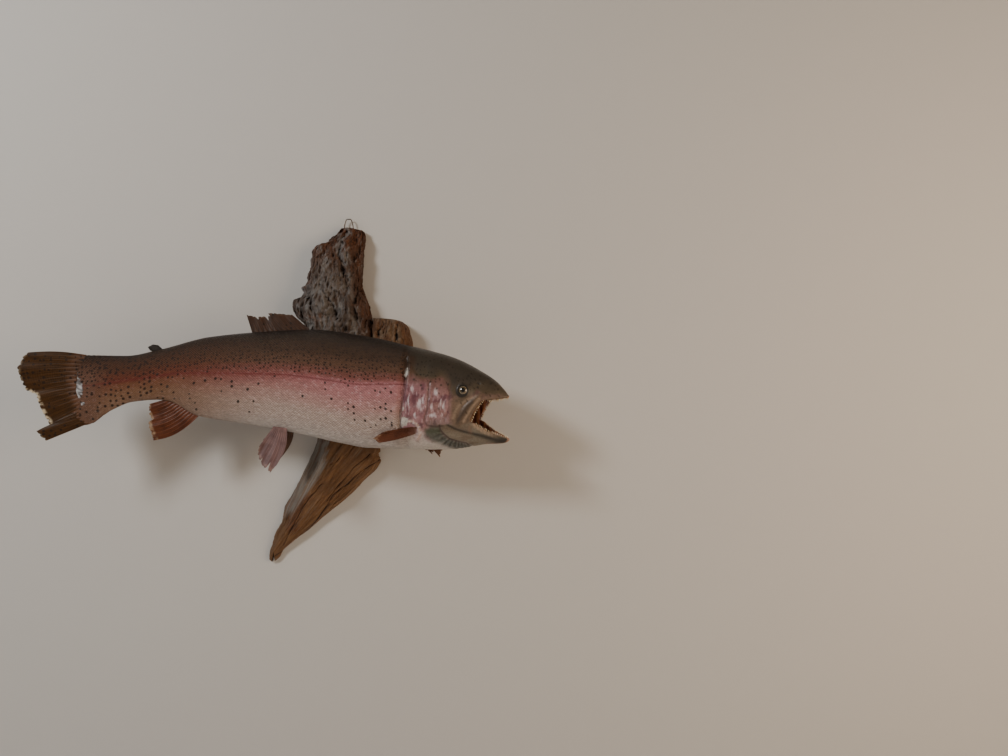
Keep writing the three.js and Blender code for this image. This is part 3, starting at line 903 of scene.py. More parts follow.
@dataclass(frozen=True)
class TroutMarkings:
    """The trout's colours, as one shader group that the skin and scales read."""

    mid_flank: Sequence[tuple[float, Colour]] = (
        (0.0, (0.46, 0.415, 0.385)),
        (0.20, (0.42, 0.325, 0.282)),
        (0.34, (0.385, 0.245, 0.212)),
        (0.42, (0.320, 0.155, 0.138)),
        (0.50, (0.24, 0.075, 0.068)),
        (0.57, (0.175, 0.062, 0.048)),
        (0.66, (0.100, 0.048, 0.027)),
        (0.80, (0.052, 0.027, 0.014)),
        (1.0, (0.014, 0.0085, 0.0055)),
    )
    tail_flank: Sequence[tuple[float, Colour]] = (
        (0.0, (0.215, 0.125, 0.080)),
        (0.22, (0.180, 0.092, 0.050)),
        (0.40, (0.150, 0.058, 0.028)),
        (0.50, (0.125, 0.027, 0.013)),
        (0.58, (0.105, 0.027, 0.011)),
        (0.75, (0.068, 0.025, 0.010)),
        (1.0, (0.024, 0.012, 0.006)),
    )
    blush: Colour = (0.43, 0.190, 0.200)
    stalk: Colour = (0.128, 0.064, 0.041)
    spot: Colour = (0.014, 0.0075, 0.0045)
    line: Colour = (0.13, 0.018, 0.018)

    def build(self) -> Tree:
        """Builds the group: where a point lies goes in, its colour, spots and gloss come out.

        Returns:
            The group's tree.
        """
        outputs = {"Colour": "Color", "Spots": "Float", "Gloss": "Float"}
        weave, given, taken = new_tree("trout markings", "Shader", {"Lie": "Vector"}, outputs)
        lie = given["Lie"]
        station, _, rise = weave.split(lie)
        wander = weave.noise(lie, 38.0, 2.0)
        shifted = rise + (wander - 0.5) * 0.16
        height = shifted * 0.5 + 0.5
        tailward = weave.between(station, -0.05, -0.26)
        base = weave.mix(tailward, weave.ramp(height, self.mid_flank), weave.ramp(height, self.tail_flank))
        base = weave.mix(self._blush_share(weave, station, rise), base, self.blush)
        faded = weave.between(station, -0.312, -0.352, 0.0, 0.85) * weave.between(rise, 0.85, 0.15)
        base = weave.mix(faded, base, self.stalk)
        mottle = weave.between(weave.noise(lie, 120.0, 3.0), 0.3, 0.7, 0.78, 1.18)
        base = weave.shaded(base, mottle)
        line = weave.between(weave.math("ABSOLUTE", rise), 0.022, 0.004, 0.0, 0.6)
        base = weave.mix(line, base, self.line)
        spots = self._spots(weave, lie, station, rise)
        weave.feed(taken["Colour"], weave.mix(spots, base, self.spot))
        weave.feed(taken["Spots"], spots)
        forward = weave.between(station, -0.16, 0.04, 0.3, 1.0)
        weave.feed(taken["Gloss"], weave.between(rise, 0.35, -0.15) * forward)
        return weave.tree

    def _blush_share(self, weave: Weaver, station: Flow, rise: Flow) -> Flow:
        """The bright pink patch behind the gill cover, just below the lateral line.

        Args:
            weave: the weaver of the group's tree.
            station: the station, in metres.
            rise: the height: 1 on the back, 0 on the lateral line and -1 on the belly.

        Returns:
            How strong the pink is, from 0 to 1.
        """
        along = weave.between(station, -0.10, 0.05)
        down = weave.between(rise, -0.62, -0.08) * weave.between(rise, 0.12, -0.02)
        return along * down * 0.72

    def _spots(self, weave: Weaver, lie: Flow, station: Flow, rise: Flow) -> Flow:
        """Round dark spots: dense above the lateral line and on the stalk, few and bold below.

        Args:
            weave: the weaver of the group's tree.
            lie: the place on the unrolled flank.
            station: the station, in metres.
            rise: the height: 1 on the back, 0 on the lateral line and -1 on the belly.

        Returns:
            How dark the spots are, from 0 to 1.
        """
        dense = weave.between(rise, -0.02, 0.16) * 0.92
        stalk = weave.between(station, -0.17, -0.27) * 0.60
        head = weave.between(station, 0.118, 0.128, 1.0, 0.35)
        fine = dense * head
        below = weave.between(rise, -0.80, -0.55) * weave.between(rise, 0.02, -0.06)
        bold = weave.math("MAXIMUM", below * 0.16 * head, stalk)
        layers = []
        for crowd, pitch, sizes in ((fine, 0.0057, (0.17, 0.28)), (bold, 0.0082, (0.17, 0.27))):
            near, reach, kept = weave.dots(lie, pitch, 0.78, crowd, sizes)
            ragged = (weave.noise(lie, 520.0, 2.0) - 0.5) * 0.16
            layers.append(weave.between(near + ragged - reach, 0.05, -0.06) * kept)
        return weave.math("MAXIMUM", *layers) * 0.93


@dataclass(frozen=True)
class SkinFinish:
    """Varnished skin: the markings with the head's painted tones over them."""

    name: str = "trout skin"
    grime: Colour = (0.02, 0.016, 0.014)

    def build(self, markings: Tree) -> Material:
        """Builds the material over the shared markings.

        Args:
            markings: the shared markings group.

        Returns:
            The material.
        """
        material, weave, shader = new_material(
            self.name, Coat_Weight=0.10, Coat_Roughness=0.16, Specular_IOR_Level=0.28
        )
        marks = weave.group(markings, Lie=weave.attribute("lie"))
        paint = weave.attribute("paint", "Color")
        cover = weave.attribute("paint", "Alpha")
        grain = weave.noise(weave.place(), 420.0, 4.0)
        tone = weave.mix(marks["Spots"] * 0.55, paint, TroutMarkings.spot)
        base = weave.mix(cover, marks["Colour"], tone)
        base = weave.mix(weave.between(grain, 0.35, 0.7, 0.0, 0.25), base, self.grime)
        weave.fill(
            shader, Base_Color=base, Roughness=weave.between(grain, 0.25, 0.75, 0.30, 0.52),
            Normal=weave.bump(grain, 0.0004, 0.5),
        )
        return material


@dataclass(frozen=True)
class ScaleFinish:
    """Thin varnished scales that carry the skin's markings, each a little different."""

    name: str = "trout scales"
    # glint: the pale tone of the painted highlights on the glossier scales.
    glint: Colour = (0.74, 0.68, 0.70)
    rim: Colour = (0.035, 0.024, 0.02)

    def build(self, markings: Tree) -> Material:
        """Builds the material over the shared markings.

        Args:
            markings: the shared markings group.

        Returns:
            The material.
        """
        material, weave, shader = new_material(
            self.name, Coat_Weight=0.03, Coat_Roughness=0.22, Specular_IOR_Level=0.22
        )
        marks = weave.group(markings, Lie=weave.attribute("lie"))
        across, along, _ = weave.split(weave.attribute("on_scale"))
        tint = weave.attribute("tint", "Fac")
        beside = weave.between(weave.math("ABSOLUTE", across), 0.72, 1.0)
        rim = weave.math("MAXIMUM", weave.between(along, 0.80, 1.0), beside)
        base = weave.shaded(marks["Colour"], weave.between(tint, 0.0, 1.0, 0.92, 1.08))
        # Painted highlights: a few glossy scales are lightened towards a pale tone, as if they caught the
        # light.
        glint = weave.between(tint, 0.80, 0.97) * marks["Gloss"]
        base = weave.mix(glint * 0.12, base, self.glint)
        base = weave.mix(rim * 0.05, base, self.rim)
        weave.fill(
            shader, Base_Color=base, Metallic=marks["Gloss"] * 0.22,
            Roughness=weave.between(tint, 0.0, 1.0, 0.50, 0.38),
        )
        ribs = weave.math("SINE", along * 70.0)
        weave.fill(shader, Normal=weave.bump(ribs, 0.00004, 0.4))
        return material


@dataclass(frozen=True)
class FinFinish:
    """Varnished fin: dark membrane, lighter rays and a pale worn edge."""

    name: str
    membrane: Colour
    ray: Colour
    edge: Colour
    root: Colour
    spots: float = 0.0
    worn: float = 0.6
    most_worn: Pair = (0.0, 1.0)

    def build(self) -> Material:
        """Builds the material from the fin's own attributes.

        Returns:
            The material.
        """
        material, weave, shader = new_material(
            self.name, Coat_Weight=0.03, Coat_Roughness=0.3, Specular_IOR_Level=0.22
        )
        share, out, ridge = weave.split(weave.attribute("fin"))
        place = weave.attribute("place")
        base = weave.mix(weave.between(ridge, 0.25, 0.75), self.membrane, self.ray)
        base = weave.mix(weave.between(out, 0.30, 0.0), base, self.root)
        blotch = weave.noise(place, 70.0, 3.0)
        base = weave.mix(weave.between(blotch, 0.42, 0.68, 0.0, 0.55), base, self.membrane)
        first, last = self.most_worn
        soft = 0.08
        worst = weave.between(share, first - soft, first) * weave.between(share, last + soft, last)
        tatter = weave.between(weave.noise(place, 160.0, 4.0), 0.40, 0.62) * self.worn
        tatter = tatter * weave.between(worst, 0.0, 1.0, 0.35, 1.0)
        start = weave.between(worst, 0.0, 1.0, 0.93, 0.86)
        edge = weave.between((out - start) * 14.0, 0.0, 1.0)
        base = weave.mix(edge * tatter, base, self.edge)
        crowd = weave.between(worst, 0.0, 1.0, self.spots, self.spots * 0.25)
        near, reach, kept = weave.dots(place, 0.0068, 0.8, crowd, (0.17, 0.28))
        spot = weave.between(near - reach, 0.05, -0.05, 0.0, 0.9) * kept
        base = weave.mix(spot, base, TroutMarkings.spot)
        grain = weave.noise(place, 600.0, 3.0)
        weave.fill(shader, Base_Color=base, Roughness=weave.between(grain, 0.3, 0.7, 0.34, 0.55))
        relief = weave.math("SINE", out * 150.0) * 0.3 + grain
        weave.fill(shader, Normal=weave.bump(relief, 0.00015, 0.6))
        return material


@dataclass(frozen=True)
class EyeFinish:
    """A painted glass eye: black pupil, pale gold iris and a dark rim."""

    name: str = "glass eye"
    rings: Sequence[tuple[float, Colour]] = (
        (0.0, (0.004, 0.004, 0.004)),
        (0.365, (0.004, 0.004, 0.004)),
        (0.390, (0.26, 0.175, 0.075)),
        (0.425, (0.045, 0.032, 0.020)),
        (0.50, (0.060, 0.042, 0.026)),
        (0.545, (0.27, 0.20, 0.105)),
        (0.600, (0.21, 0.155, 0.080)),
        (0.635, (0.006, 0.005, 0.004)),
    )
    fleck: Colour = (0.03, 0.022, 0.018)

    def build(self) -> Material:
        """Builds the material from how far a point is from the eye's middle.

        Returns:
            The material.
        """
        material, weave, shader = new_material(self.name, Coat_Weight=1.0, Coat_Roughness=0.02, IOR=1.5)
        gaze = weave.attribute("gaze")
        _, _, reach = weave.split(gaze)
        flecks = weave.noise(gaze, 9.0, 3.0)
        wander = (flecks - 0.5) * 0.10
        base = weave.ramp(reach + wander, self.rings)
        dark = weave.between(flecks, 0.52, 0.66) * weave.between(reach, 0.42, 0.55, 0.0, 0.7)
        base = weave.mix(dark, base, self.fleck)
        weave.fill(shader, Base_Color=base, Roughness=weave.between(reach, 0.34, 0.40, 0.06, 0.3))
        return material


@dataclass(frozen=True)
class ToothFinish:
    """Ivory that darkens towards the gum."""

    name: str = "tooth ivory"
    gum: Colour = (0.30, 0.17, 0.07)
    tip: Colour = (0.74, 0.64, 0.45)
    stain: Colour = (0.33, 0.21, 0.10)

    def build(self) -> Material:
        """Builds the material along the tooth's height.

        Returns:
            The material.
        """
        material, weave, shader = new_material(self.name, Coat_Weight=0.4, Coat_Roughness=0.15)
        _, _, height = weave.split(weave.attribute("on_tooth"))
        stain = weave.noise(weave.place(), 500.0, 3.0)
        base = weave.mix(weave.between(height, 0.1, 0.7), self.gum, self.tip)
        base = weave.mix(weave.between(stain, 0.45, 0.7, 0.0, 0.5), base, self.stain)
        weave.fill(shader, Base_Color=base, Roughness=weave.between(stain, 0.3, 0.7, 0.22, 0.4))
        return material


def weathering_group() -> Tree:
    """Dust on what stands out and dark dirt in what lies deep, for every wooden piece.

    Returns:
        The group's tree.
    """
    inputs = {"Colour": "Color", "Relief": "Float", "Bleached": "Float", "Dust": "Color", "Dirt": "Color"}
    weave, given, taken = new_tree("weathering", "Shader", inputs, {"Colour": "Color", "Roughness": "Float"})
    place = weave.place()
    patches = weave.noise(place, 26.0, 4.0)
    fine = weave.noise(place, 300.0, 3.0)
    high = weave.between(given["Relief"], 0.55, 0.92) * weave.between(patches, 0.40, 0.64)
    deep = weave.between(given["Relief"] + fine * 0.15, 0.34, 0.08)
    grey = given["Bleached"] * weave.between(patches, 0.2, 0.55, 0.55, 1.0)
    pale = weave.math("MAXIMUM", high * 0.75, grey * 0.85)
    dusty = weave.mix(pale, given["Colour"], given["Dust"])
    weave.feed(taken["Colour"], weave.mix(deep, dusty, given["Dirt"]))
    weave.feed(taken["Roughness"], weave.between(fine, 0.3, 0.7, 0.72, 0.92))
    return weave.tree


@dataclass(frozen=True)
class WoodFinish:
    """Old dry wood with a grain that runs one way."""

    name: str
    light: Colour
    dark: Colour
    dust: Colour
    stain: Colour
    dirt: Colour = (0.022, 0.013, 0.009)
    lines: float = 230.0
    stained_above: float = 1.0
    stained_right: float = 0.0
    stain_depth: float = 0.42

    def build(self, weathering: Tree) -> Material:
        """Builds the material: grain lines stretched along the wood, stain, dust and dirt.

        Args:
            weathering: the shared weathering group.

        Returns:
            The material.
        """
        material, weave, shader = new_material(self.name)
        along = weave.attribute("grain")
        grain = weave.noise(along, self.lines, 4.0, 0.6)
        streaks = weave.noise(along, self.lines / 5, 3.0)
        place = weave.place()
        patches = weave.noise(place, 18.0, 3.0)
        relief, bleached, across = weave.split(weave.attribute("wood"))
        base = weave.mix(weave.between(grain, 0.35, 0.65), self.dark, self.light)
        base = weave.mix(weave.between(streaks, 0.40, 0.66, 0.0, 0.6), base, self.dark)
        _, _, height = weave.split(place)
        above = weave.between(height, self.stained_above - 0.05, self.stained_above + 0.02)
        wander = across + patches * 0.9
        right = weave.between(wander, 1.10, 1.50, 0.0, self.stained_right)
        patchy = weave.math("MAXIMUM", weave.between(patches, 0.54, 0.70), above)
        stained = weave.math("MAXIMUM", patchy, right)
        deep_stain = tuple(self.stain_depth * value for value in self.stain)
        stain = weave.mix(weave.between(grain, 0.38, 0.68), deep_stain, self.stain)
        base = weave.mix(stained * 0.8, base, stain)
        worn = weave.group(
            weathering, Colour=base, Relief=relief, Bleached=bleached, Dust=self.dust, Dirt=self.dirt
        )
        weave.fill(shader, Base_Color=worn["Colour"], Roughness=worn["Roughness"])
        height = grain + weave.noise(place, 700.0, 3.0) * 0.5
        weave.fill(shader, Normal=weave.bump(height, 0.0007, 0.7))
        return material


@dataclass(frozen=True)
class WireFinish:
    """Tarnished wire, with darker and rustier patches."""

    name: str = "tarnished wire"
    bright: Colour = (0.16, 0.14, 0.12)
    rusty: Colour = (0.07, 0.035, 0.02)

    def build(self) -> Material:
        """Builds the material.

        Returns:
            The material.
        """
        material, weave, shader = new_material(self.name, Metallic=0.9)
        place = weave.place()
        patches = weave.noise(place, 260.0, 4.0)
        base = weave.mix(weave.between(patches, 0.42, 0.62), self.bright, self.rusty)
        weave.fill(
            shader, Base_Color=base, Roughness=weave.between(patches, 0.3, 0.7, 0.32, 0.6),
            Normal=weave.bump(weave.noise(place, 1500.0, 2.0), 0.0001, 0.5),
        )
        return material


# ------ skin


def sweep(
    path: Array, wide: Array, half_widths: Array, deep: Array, half_depths: Array, sides: int
) -> Object:
    """A closed rounded bar along a path.

    Args:
        path: the middle of each ring, in rows.
        wide: the direction of each ring's width.
        half_widths: half the width of each ring.
        deep: the direction of each ring's depth.
        half_depths: half the depth of each ring.
        sides: how many corners a ring has.

    Returns:
        The bar as a working object of the straight fish.
    """
    angles = turns(sides)
    rings = (
        path[:, None, :]
        + np.cos(angles)[None, :, None] * (wide * half_widths[:, None])[:, None, :]
        + np.sin(angles)[None, :, None] * (deep * half_depths[:, None])[:, None, :]
    )
    return make_object("bar", *closed_tube(rings))


def across_body(outline: Pairs, near: float, far: float) -> Object:
    """A side outline run across the body from one side distance to another.

    Args:
        outline: stations and heights of the outline.
        near: one side distance.
        far: the other side distance.

    Returns:
        The block as a working solid.
    """
    count = len(outline)
    points = np.array([(x, side, z) for side in (near, far) for x, z in outline], dtype=float)
    faces = [[i, (i + 1) % count, count + (i + 1) % count, count + i] for i in range(count)]
    return make_object("block", points, [*faces, list(range(count))[::-1], list(range(count, 2 * count))])


@dataclass(frozen=True)
class Eye:
    """Place and size of the eyes: the ball's middle lies under the skin by its sunk depth."""

    station: float = 206.0
    height: float = -7.0
    radius: float = 9.2
    sunk: float = 6.2

    def middle(self, flank: int) -> Array:
        """The middle of the eyeball on one flank, in the straight fish."""
        side = float(BODY.side(np.array(self.station), np.array(self.height))) - self.sunk
        return np.array([self.station, flank * side, self.height])

    def outward(self, flank: int) -> Array:
        """The direction that the eye looks in."""
        return BODY.outward(np.array(self.station), np.array(self.height), flank)


EYE = Eye()


@dataclass
class Skin:
    """The continuous skin of body and head, with the open mouth and the gill slits."""

    depth_under_scales: float = 0.9
    join: Pair = (94.0, 98.0)
    trunk_end: float = -382.0
    trunk_pitch: float = 3.4
    trunk_sides: int = 128
    head_pitch: float = 2.0
    head_sides: int = 160
    voxel: float = 1.15
    gape: Pairs = (
        (217, -50), (221, -41), (226, -32), (234, -20), (247, -19.5), (262, -16), (300, -16),
        (300, -77), (269, -76.5), (251, -70), (236, -63), (224, -54),
    )
    hollow: Pair = (166.0, 276.0)
    palate: Pairs = ((166, -52), (190, -38), (212, -24), (234, -12), (248, -12), (262, -17.5), (276, -20))
    floor: Pairs = ((166, -57), (190, -67), (212, -78), (234, -79.5), (250, -79.5), (262, -79), (276, -78))
    mouth_width: Pairs = ((166, 5), (190, 19), (212, 21), (234, 15.5), (250, 10), (262, 5), (276, 3))
    mouth_fullness: float = 0.8
    gill_edge: Pairs = (
        (118, 45), (122.4, 40), (124, 30), (123.6, 15), (122, -2), (119, -20), (115.5, -40),
        (113.5, -56), (116, -66), (122, -73),
    )
    slit_rear: float = 86.0
    slit_inner: float = 4.0
    slit_sink: float = 2.8
    shoulder_end: float = 150.0
    shoulder_sink: float = 0.3
    beyond_flanks: float = 95.0
    upper_lip: Pairs = ((235, -19.6), (247, -18.2), (256, -16.8), (263, -15.4))
    lower_lip: Pairs = ((223, -55.5), (236, -64.4), (251, -71.2), (262, -75.2))
    maxilla: Pairs = (
        (236, -12.5), (231, -14), (223.5, -22.5), (215.5, -32), (208, -44), (202, -52), (200, -55.5),
    )
    maxilla_half: tuple[float, ...] = (2.0, 4.0, 6.6, 8.4, 9.4, 7.0, 3.0)
    tongue: Point = (222.0, 0.0, -76.0)
    tongue_half: Point = (25.0, 8.0, 5.5)
    lip_tips: tuple[Pairs, Pairs] = (((267.5, -15.0), (1.6, 2.3)), ((268.5, -77.2), (1.6, 2.4)))
    lip_inset: float = 1.4
    lip_steps: int = 14
    lip_sides: int = 10
    maxilla_inset: float = 0.6
    maxilla_steps: int = 20
    maxilla_sides: int = 16
    lid_reach: float = 8.1
    lid_half: Pair = (1.7, 1.3)
    lid_sunk: float = 0.6
    lid_sides: int = 36
    bead_sides: int = 10

    def under(self, station: Array) -> Array:
        """How far the skin lies inside the body's outline, to leave room for the scales."""
        return -self.depth_under_scales * smooth_step(126, 116, station)

    def gill_station(self, heights: Array) -> Array:
        """The station of the gill cover's edge at each height."""
        stations, levels = np.array(self.gill_edge[::-1]).T
        return np.interp(heights, levels, stations)

    def mouth(self, stations: Array) -> Iterable[Array]:
        """The heights of the palate and the floor of the mouth, and half its width."""
        return (smooth_curve(pairs)(stations) for pairs in (self.palate, self.floor, self.mouth_width))

    def tube(self, name: str, stations: Array, sides: int, sink: Array | float = 0.0) -> Object:
        """A closed tube of the body's rings, sunk under the scales and by some more."""
        rings = BODY.section(stations[:, None], turns(sides)[None, :], self.under(stations)[:, None] - sink)
        return make_object(name, *closed_tube(rings))

    def trunk(self) -> Object:
        """The body from the tail's root to the shoulders, as a closed tube."""
        stations = np.append(np.arange(self.trunk_end, self.join[1], self.trunk_pitch), self.join[1])
        return self.tube("trunk solid", stations, self.trunk_sides)

    def head_block(self) -> Object:
        """The head as a closed tube, before the mouth and the gill slits are cut."""
        stations = np.append(np.arange(self.join[0], BODY.snout, self.head_pitch), BODY.snout)
        return self.tube("head solid", stations, self.head_sides)

    def shoulder(self) -> Object:
        """The body's end that passes under the gill covers, sunk on both flanks.

        Returns:
            The shoulders as a working solid.
        """
        stations = np.arange(self.join[0] + 1, self.shoulder_end, self.head_pitch)
        plain = BODY.section(stations[:, None], turns(self.head_sides)[None, :])
        flank = smooth_step(46, 36, plain[..., 2]) * smooth_step(-78, -68, plain[..., 2])
        sink = self.slit_sink * smooth_step(98, 116, stations)[:, None] * (0.15 + 0.85 * flank)
        return self.tube("shoulder solid", stations, self.head_sides, sink + self.shoulder_sink)

    def mouth_hollow(self) -> Object:
        """The hollow between the jaws, as a solid to take away.

        Returns:
            The hollow as a working solid.
        """
        stations, angles = np.linspace(*self.hollow, 36), turns(48)
        top, low, side = self.mouth(stations)
        way = np.stack([np.cos(angles), np.sin(angles)])
        across, up = np.sign(way) * np.abs(way) ** self.mouth_fullness
        middle, half = (top + low)[:, None] / 2, (top - low)[:, None] / 2
        rings = lattice(stations[:, None], side[:, None] * across, middle + half * up)
        return make_object("hollow", *closed_tube(rings))

    def lip(self, line: Pairs, tip: Pair, radii: Pair) -> Object:
        """A rounded lip that runs round the snout from one corner of the mouth to the other.

        Args:
            line: stations and heights of the lip from the corner forwards.
            tip: station and height of the lip in the middle.
            radii: its radius at the corners and in the middle.

        Returns:
            The lip as a working solid.
        """
        shares = np.linspace(0, 1, self.lip_steps)
        flank = along_line(line, shares)
        side = BODY.side(flank[:, 0], flank[:, 1]) - self.lip_inset
        right = np.column_stack([flank[:, 0], -side, flank[:, 1]])
        left = right * (1, -1, 1)
        path = np.vstack([right, [(tip[0], 0, tip[1])], left[::-1]])
        share = np.concatenate([shares, [1], np.linspace(1, 0, self.lip_steps)])
        radius = radii[0] + (radii[1] - radii[0]) * share
        ahead = unit(np.gradient(path, axis=0))
        aside = unit(np.cross(ahead, (0.0, 0.0, 1.0)))
        return sweep(path, aside, radius, np.cross(aside, ahead), radius * 0.9, self.lip_sides)

    def maxilla_bar(self, flank: int) -> Object:
        """The flat blade of bone along the upper edge of the gape on one flank.

        Args:
            flank: -1 for the right flank, 1 for the left.

        Returns:
            The blade as a working solid.
        """
        shares = np.linspace(0, 1, self.maxilla_steps)
        line = along_line(self.maxilla, shares)
        half = np.interp(shares, np.linspace(0, 1, len(self.maxilla_half)), self.maxilla_half)
        side = BODY.side(line[:, 0], line[:, 1]) - self.maxilla_inset
        path = np.column_stack([line[:, 0], flank * side, line[:, 1]])
        ahead = unit(np.gradient(path, axis=0))
        outward = BODY.outward(line[:, 0], line[:, 1], flank)
        wide = unit(np.cross(ahead, outward))
        depth = np.interp(shares, (0, 0.2, 0.8, 1), (1.4, 2.1, 2.3, 1.2))
        return sweep(path, wide, half * 0.94, outward, depth, self.maxilla_sides)

    def eyelid(self, flank: int) -> Object:
        """The raised ring of skin round one eye.

        Args:
            flank: -1 for the right flank, 1 for the left.

        Returns:
            The ring as a working solid.
        """
        outward = EYE.outward(flank)
        first = unit(np.cross(outward, (0.0, 0.0, 1.0)))
        second = np.cross(outward, first)
        middle = EYE.middle(flank) + outward * (EYE.sunk - self.lid_sunk)
        wide, high = self.lid_half
        ring = turns(self.lid_sides)
        around = np.outer(np.cos(ring), first) + np.outer(np.sin(ring), second)
        bead = turns(self.bead_sides)
        rings = (
            middle
            + around[:, None, :] * (self.lid_reach + wide * np.cos(bead))[None, :, None]
            + outward * (high * np.sin(bead))[None, :, None]
        )
        points = rings.reshape(-1, 3)
        faces = tube_faces(len(ring) + 1, len(bead)) % len(points)
        return make_object("eyelid", points, faces.tolist())

    def tongue_block(self) -> Object:
        """The tongue, as a long flattened egg.

        Returns:
            The tongue as a working solid.
        """
        rounds, angles = np.linspace(0.06, math.pi - 0.06, 20)[:, None], turns(20)
        egg = lattice(-np.cos(rounds), np.sin(rounds) * np.cos(angles), np.sin(rounds) * np.sin(angles))
        return make_object("tongue", *closed_tube(egg * self.tongue_half + self.tongue))

    def front(self) -> Object:
        """The head with its mouth, lips, eyelids and gill slits, as one even skin.

        Returns:
            The head as one closed mesh.
        """
        head, out, inner = self.head_block(), self.beyond_flanks, self.slit_inner
        (_, top), *_, (_, low) = self.gill_edge
        slit = [(self.slit_rear, top), *self.gill_edge, (self.slit_rear, low)]
        for near, far in ((-out, -inner), (inner, out)):
            cut(head, across_body(slit, near, far), Cut.TAKE_AWAY)
        cut(head, self.mouth_hollow(), Cut.TAKE_AWAY)
        cut(head, across_body(self.gape, -out, out), Cut.TAKE_AWAY)
        for flank in (-1, 1):
            cut(head, ball("socket", EYE.middle(flank), EYE.radius - 0.5, 24, 16), Cut.TAKE_AWAY)
        extras = [
            self.shoulder(),
            *(self.lip(line, *tip) for line, tip in zip((self.upper_lip, self.lower_lip), self.lip_tips)),
            self.tongue_block(),
            *(self.maxilla_bar(flank) for flank in (-1, 1)),
            *(self.eyelid(flank) for flank in (-1, 1)),
        ]
        whole = joined("front solid", [head, *extras])
        modified(whole, "REMESH", mode="VOXEL", voxel_size=self.voxel, use_smooth_shade=True)
        return modified(whole, "SMOOTH", factor=0.5, iterations=2)

    def build(self) -> Object:
        """Builds the whole skin in the straight fish, then bends it.

        Returns:
            The skin, with its markings' attributes.
        """
        skin = cut(self.front(), self.trunk(), Cut.JOIN)
        skin.name = "skin"
        straight = points_of(skin)
        paint = np.zeros((len(straight), 4))
        outward = read_rows(skin.data.vertex_normals, "vector")
        straight = straight + outward * self.relief(straight, paint)[:, None]
        store(skin, "lie", BODY.lie(straight))
        store(skin, "paint", paint)
        move_points(skin, POSE.bend(straight))
        smooth(skin)
        return skin

    def relief(self, straight: Array, paint: Array) -> Array:
        """The head's ridges, grooves and folds, and the tones painted with them.

        Args:
            straight: the skin's points in the straight fish.
            paint: red, green, blue and cover for each point, filled in here.

        Returns:
            How far each point moves outwards.
        """
        rise = 0.35 * rough(straight, 60.0, 2)
        ahead = straight[:, 0] > 80
        details = HeadDetail(straight[ahead], self)
        rise[ahead] = details.rise()
        paint[ahead] = details.tones()
        return rise + TORN_AND_HIGHLIGHTS.lay(straight, paint)


def ball(name: str, middle: Array, radius: float, sides: int, rows: int) -> Object:
    """A closed ball of even rows.

    Args:
        name: the new object's name.
        middle: its middle.
        radius: its radius.
        sides: how many points a row has.
        rows: how many rows it has.

    Returns:
        The new object.
    """
    rounds, angles = np.linspace(0.03, math.pi - 0.03, rows)[:, None], turns(sides)
    rings = lattice(np.sin(rounds) * np.cos(angles), np.sin(rounds) * np.sin(angles), np.cos(rounds))
    return make_object(name, *closed_tube(rings * radius + middle))


@dataclass(frozen=True)
class TornSkinAndHighlights:
    """Pale patches of the right flank: torn-off skin, and painted highlights by the gill edge.

    Each patch is its station and height with half its length and half its height.
    """

    # The pale patches by the gill edge are painted highlights as well as torn skin.
    patches: Sequence[tuple[float, float, float, float]] = (
        (-363.8, -5, 6.4, 16.0), (-366.5, 15, 2.2, 6.0), (-356.5, -26, 2.6, 3.2), (120.8, 19, 2.6, 6.0),
        (118.0, -51, 5.0, 6.5), (117.5, -33, 1.0, 3.0),
    )
    # pale: the tone of the patches on the head, partly a painted highlight.
    pale: Colour = (0.60, 0.55, 0.49)
    silver: Colour = (0.50, 0.51, 0.54)
    fleck: Colour = (0.05, 0.045, 0.045)

    def share(self, straight: Array, grow: float = 0.0) -> Array:
        """How torn the skin is at points of the straight fish, from 0 to 1.

        Args:
            straight: points of the straight fish, in rows.
            grow: how much larger the patches are taken, in millimetres.

        Returns:
            One share for each point.
        """
        found = np.zeros(len(straight))
        for station, height, long, tall in self.patches:
            x, z = (straight[:, 0] - station) / (long + grow), (straight[:, 2] - height) / (tall + grow)
            near = np.hypot(x, z) < 1.9
            ragged = 0.45 * rough(straight[near], 4.5, 3, 4.0)
            reach = np.hypot(x[near], z[near]) + ragged
            found[near] = np.maximum(found[near], smooth_step(1.1, 0.85, reach))
        return found * (straight[:, 1] < 0)

    def lay(self, straight: Array, paint: Array) -> Array:
        """Paints the patches over what is there and returns how far the skin sinks in them.

        Args:
            straight: points of the straight fish, in rows.
            paint: red, green, blue and cover for each point, changed here.

        Returns:
            One distance for each point.
        """
        share = self.share(straight, 0.5)
        torn = share > 0
        ahead = smooth_step(-100, 100, straight[torn, 0])
        flecks = smooth_step(0.02, 0.30, rough(straight[torn], 3.6, 3, 8.0)) * (0.85 - 0.5 * ahead)
        # Patches on the head take the pale tone, which is partly a painted highlight.
        bare = np.where(straight[torn, :1] < 0, self.silver, self.pale)
        tone = bare + (np.array(self.fleck) - bare) * flecks[:, None]
        paint[torn, :3] += (tone - paint[torn, :3]) * share[torn, None] ** 0.5
        paint[:, 3] = np.maximum(paint[:, 3], share)
        return -0.25 * share


TORN_AND_HIGHLIGHTS = TornSkinAndHighlights()


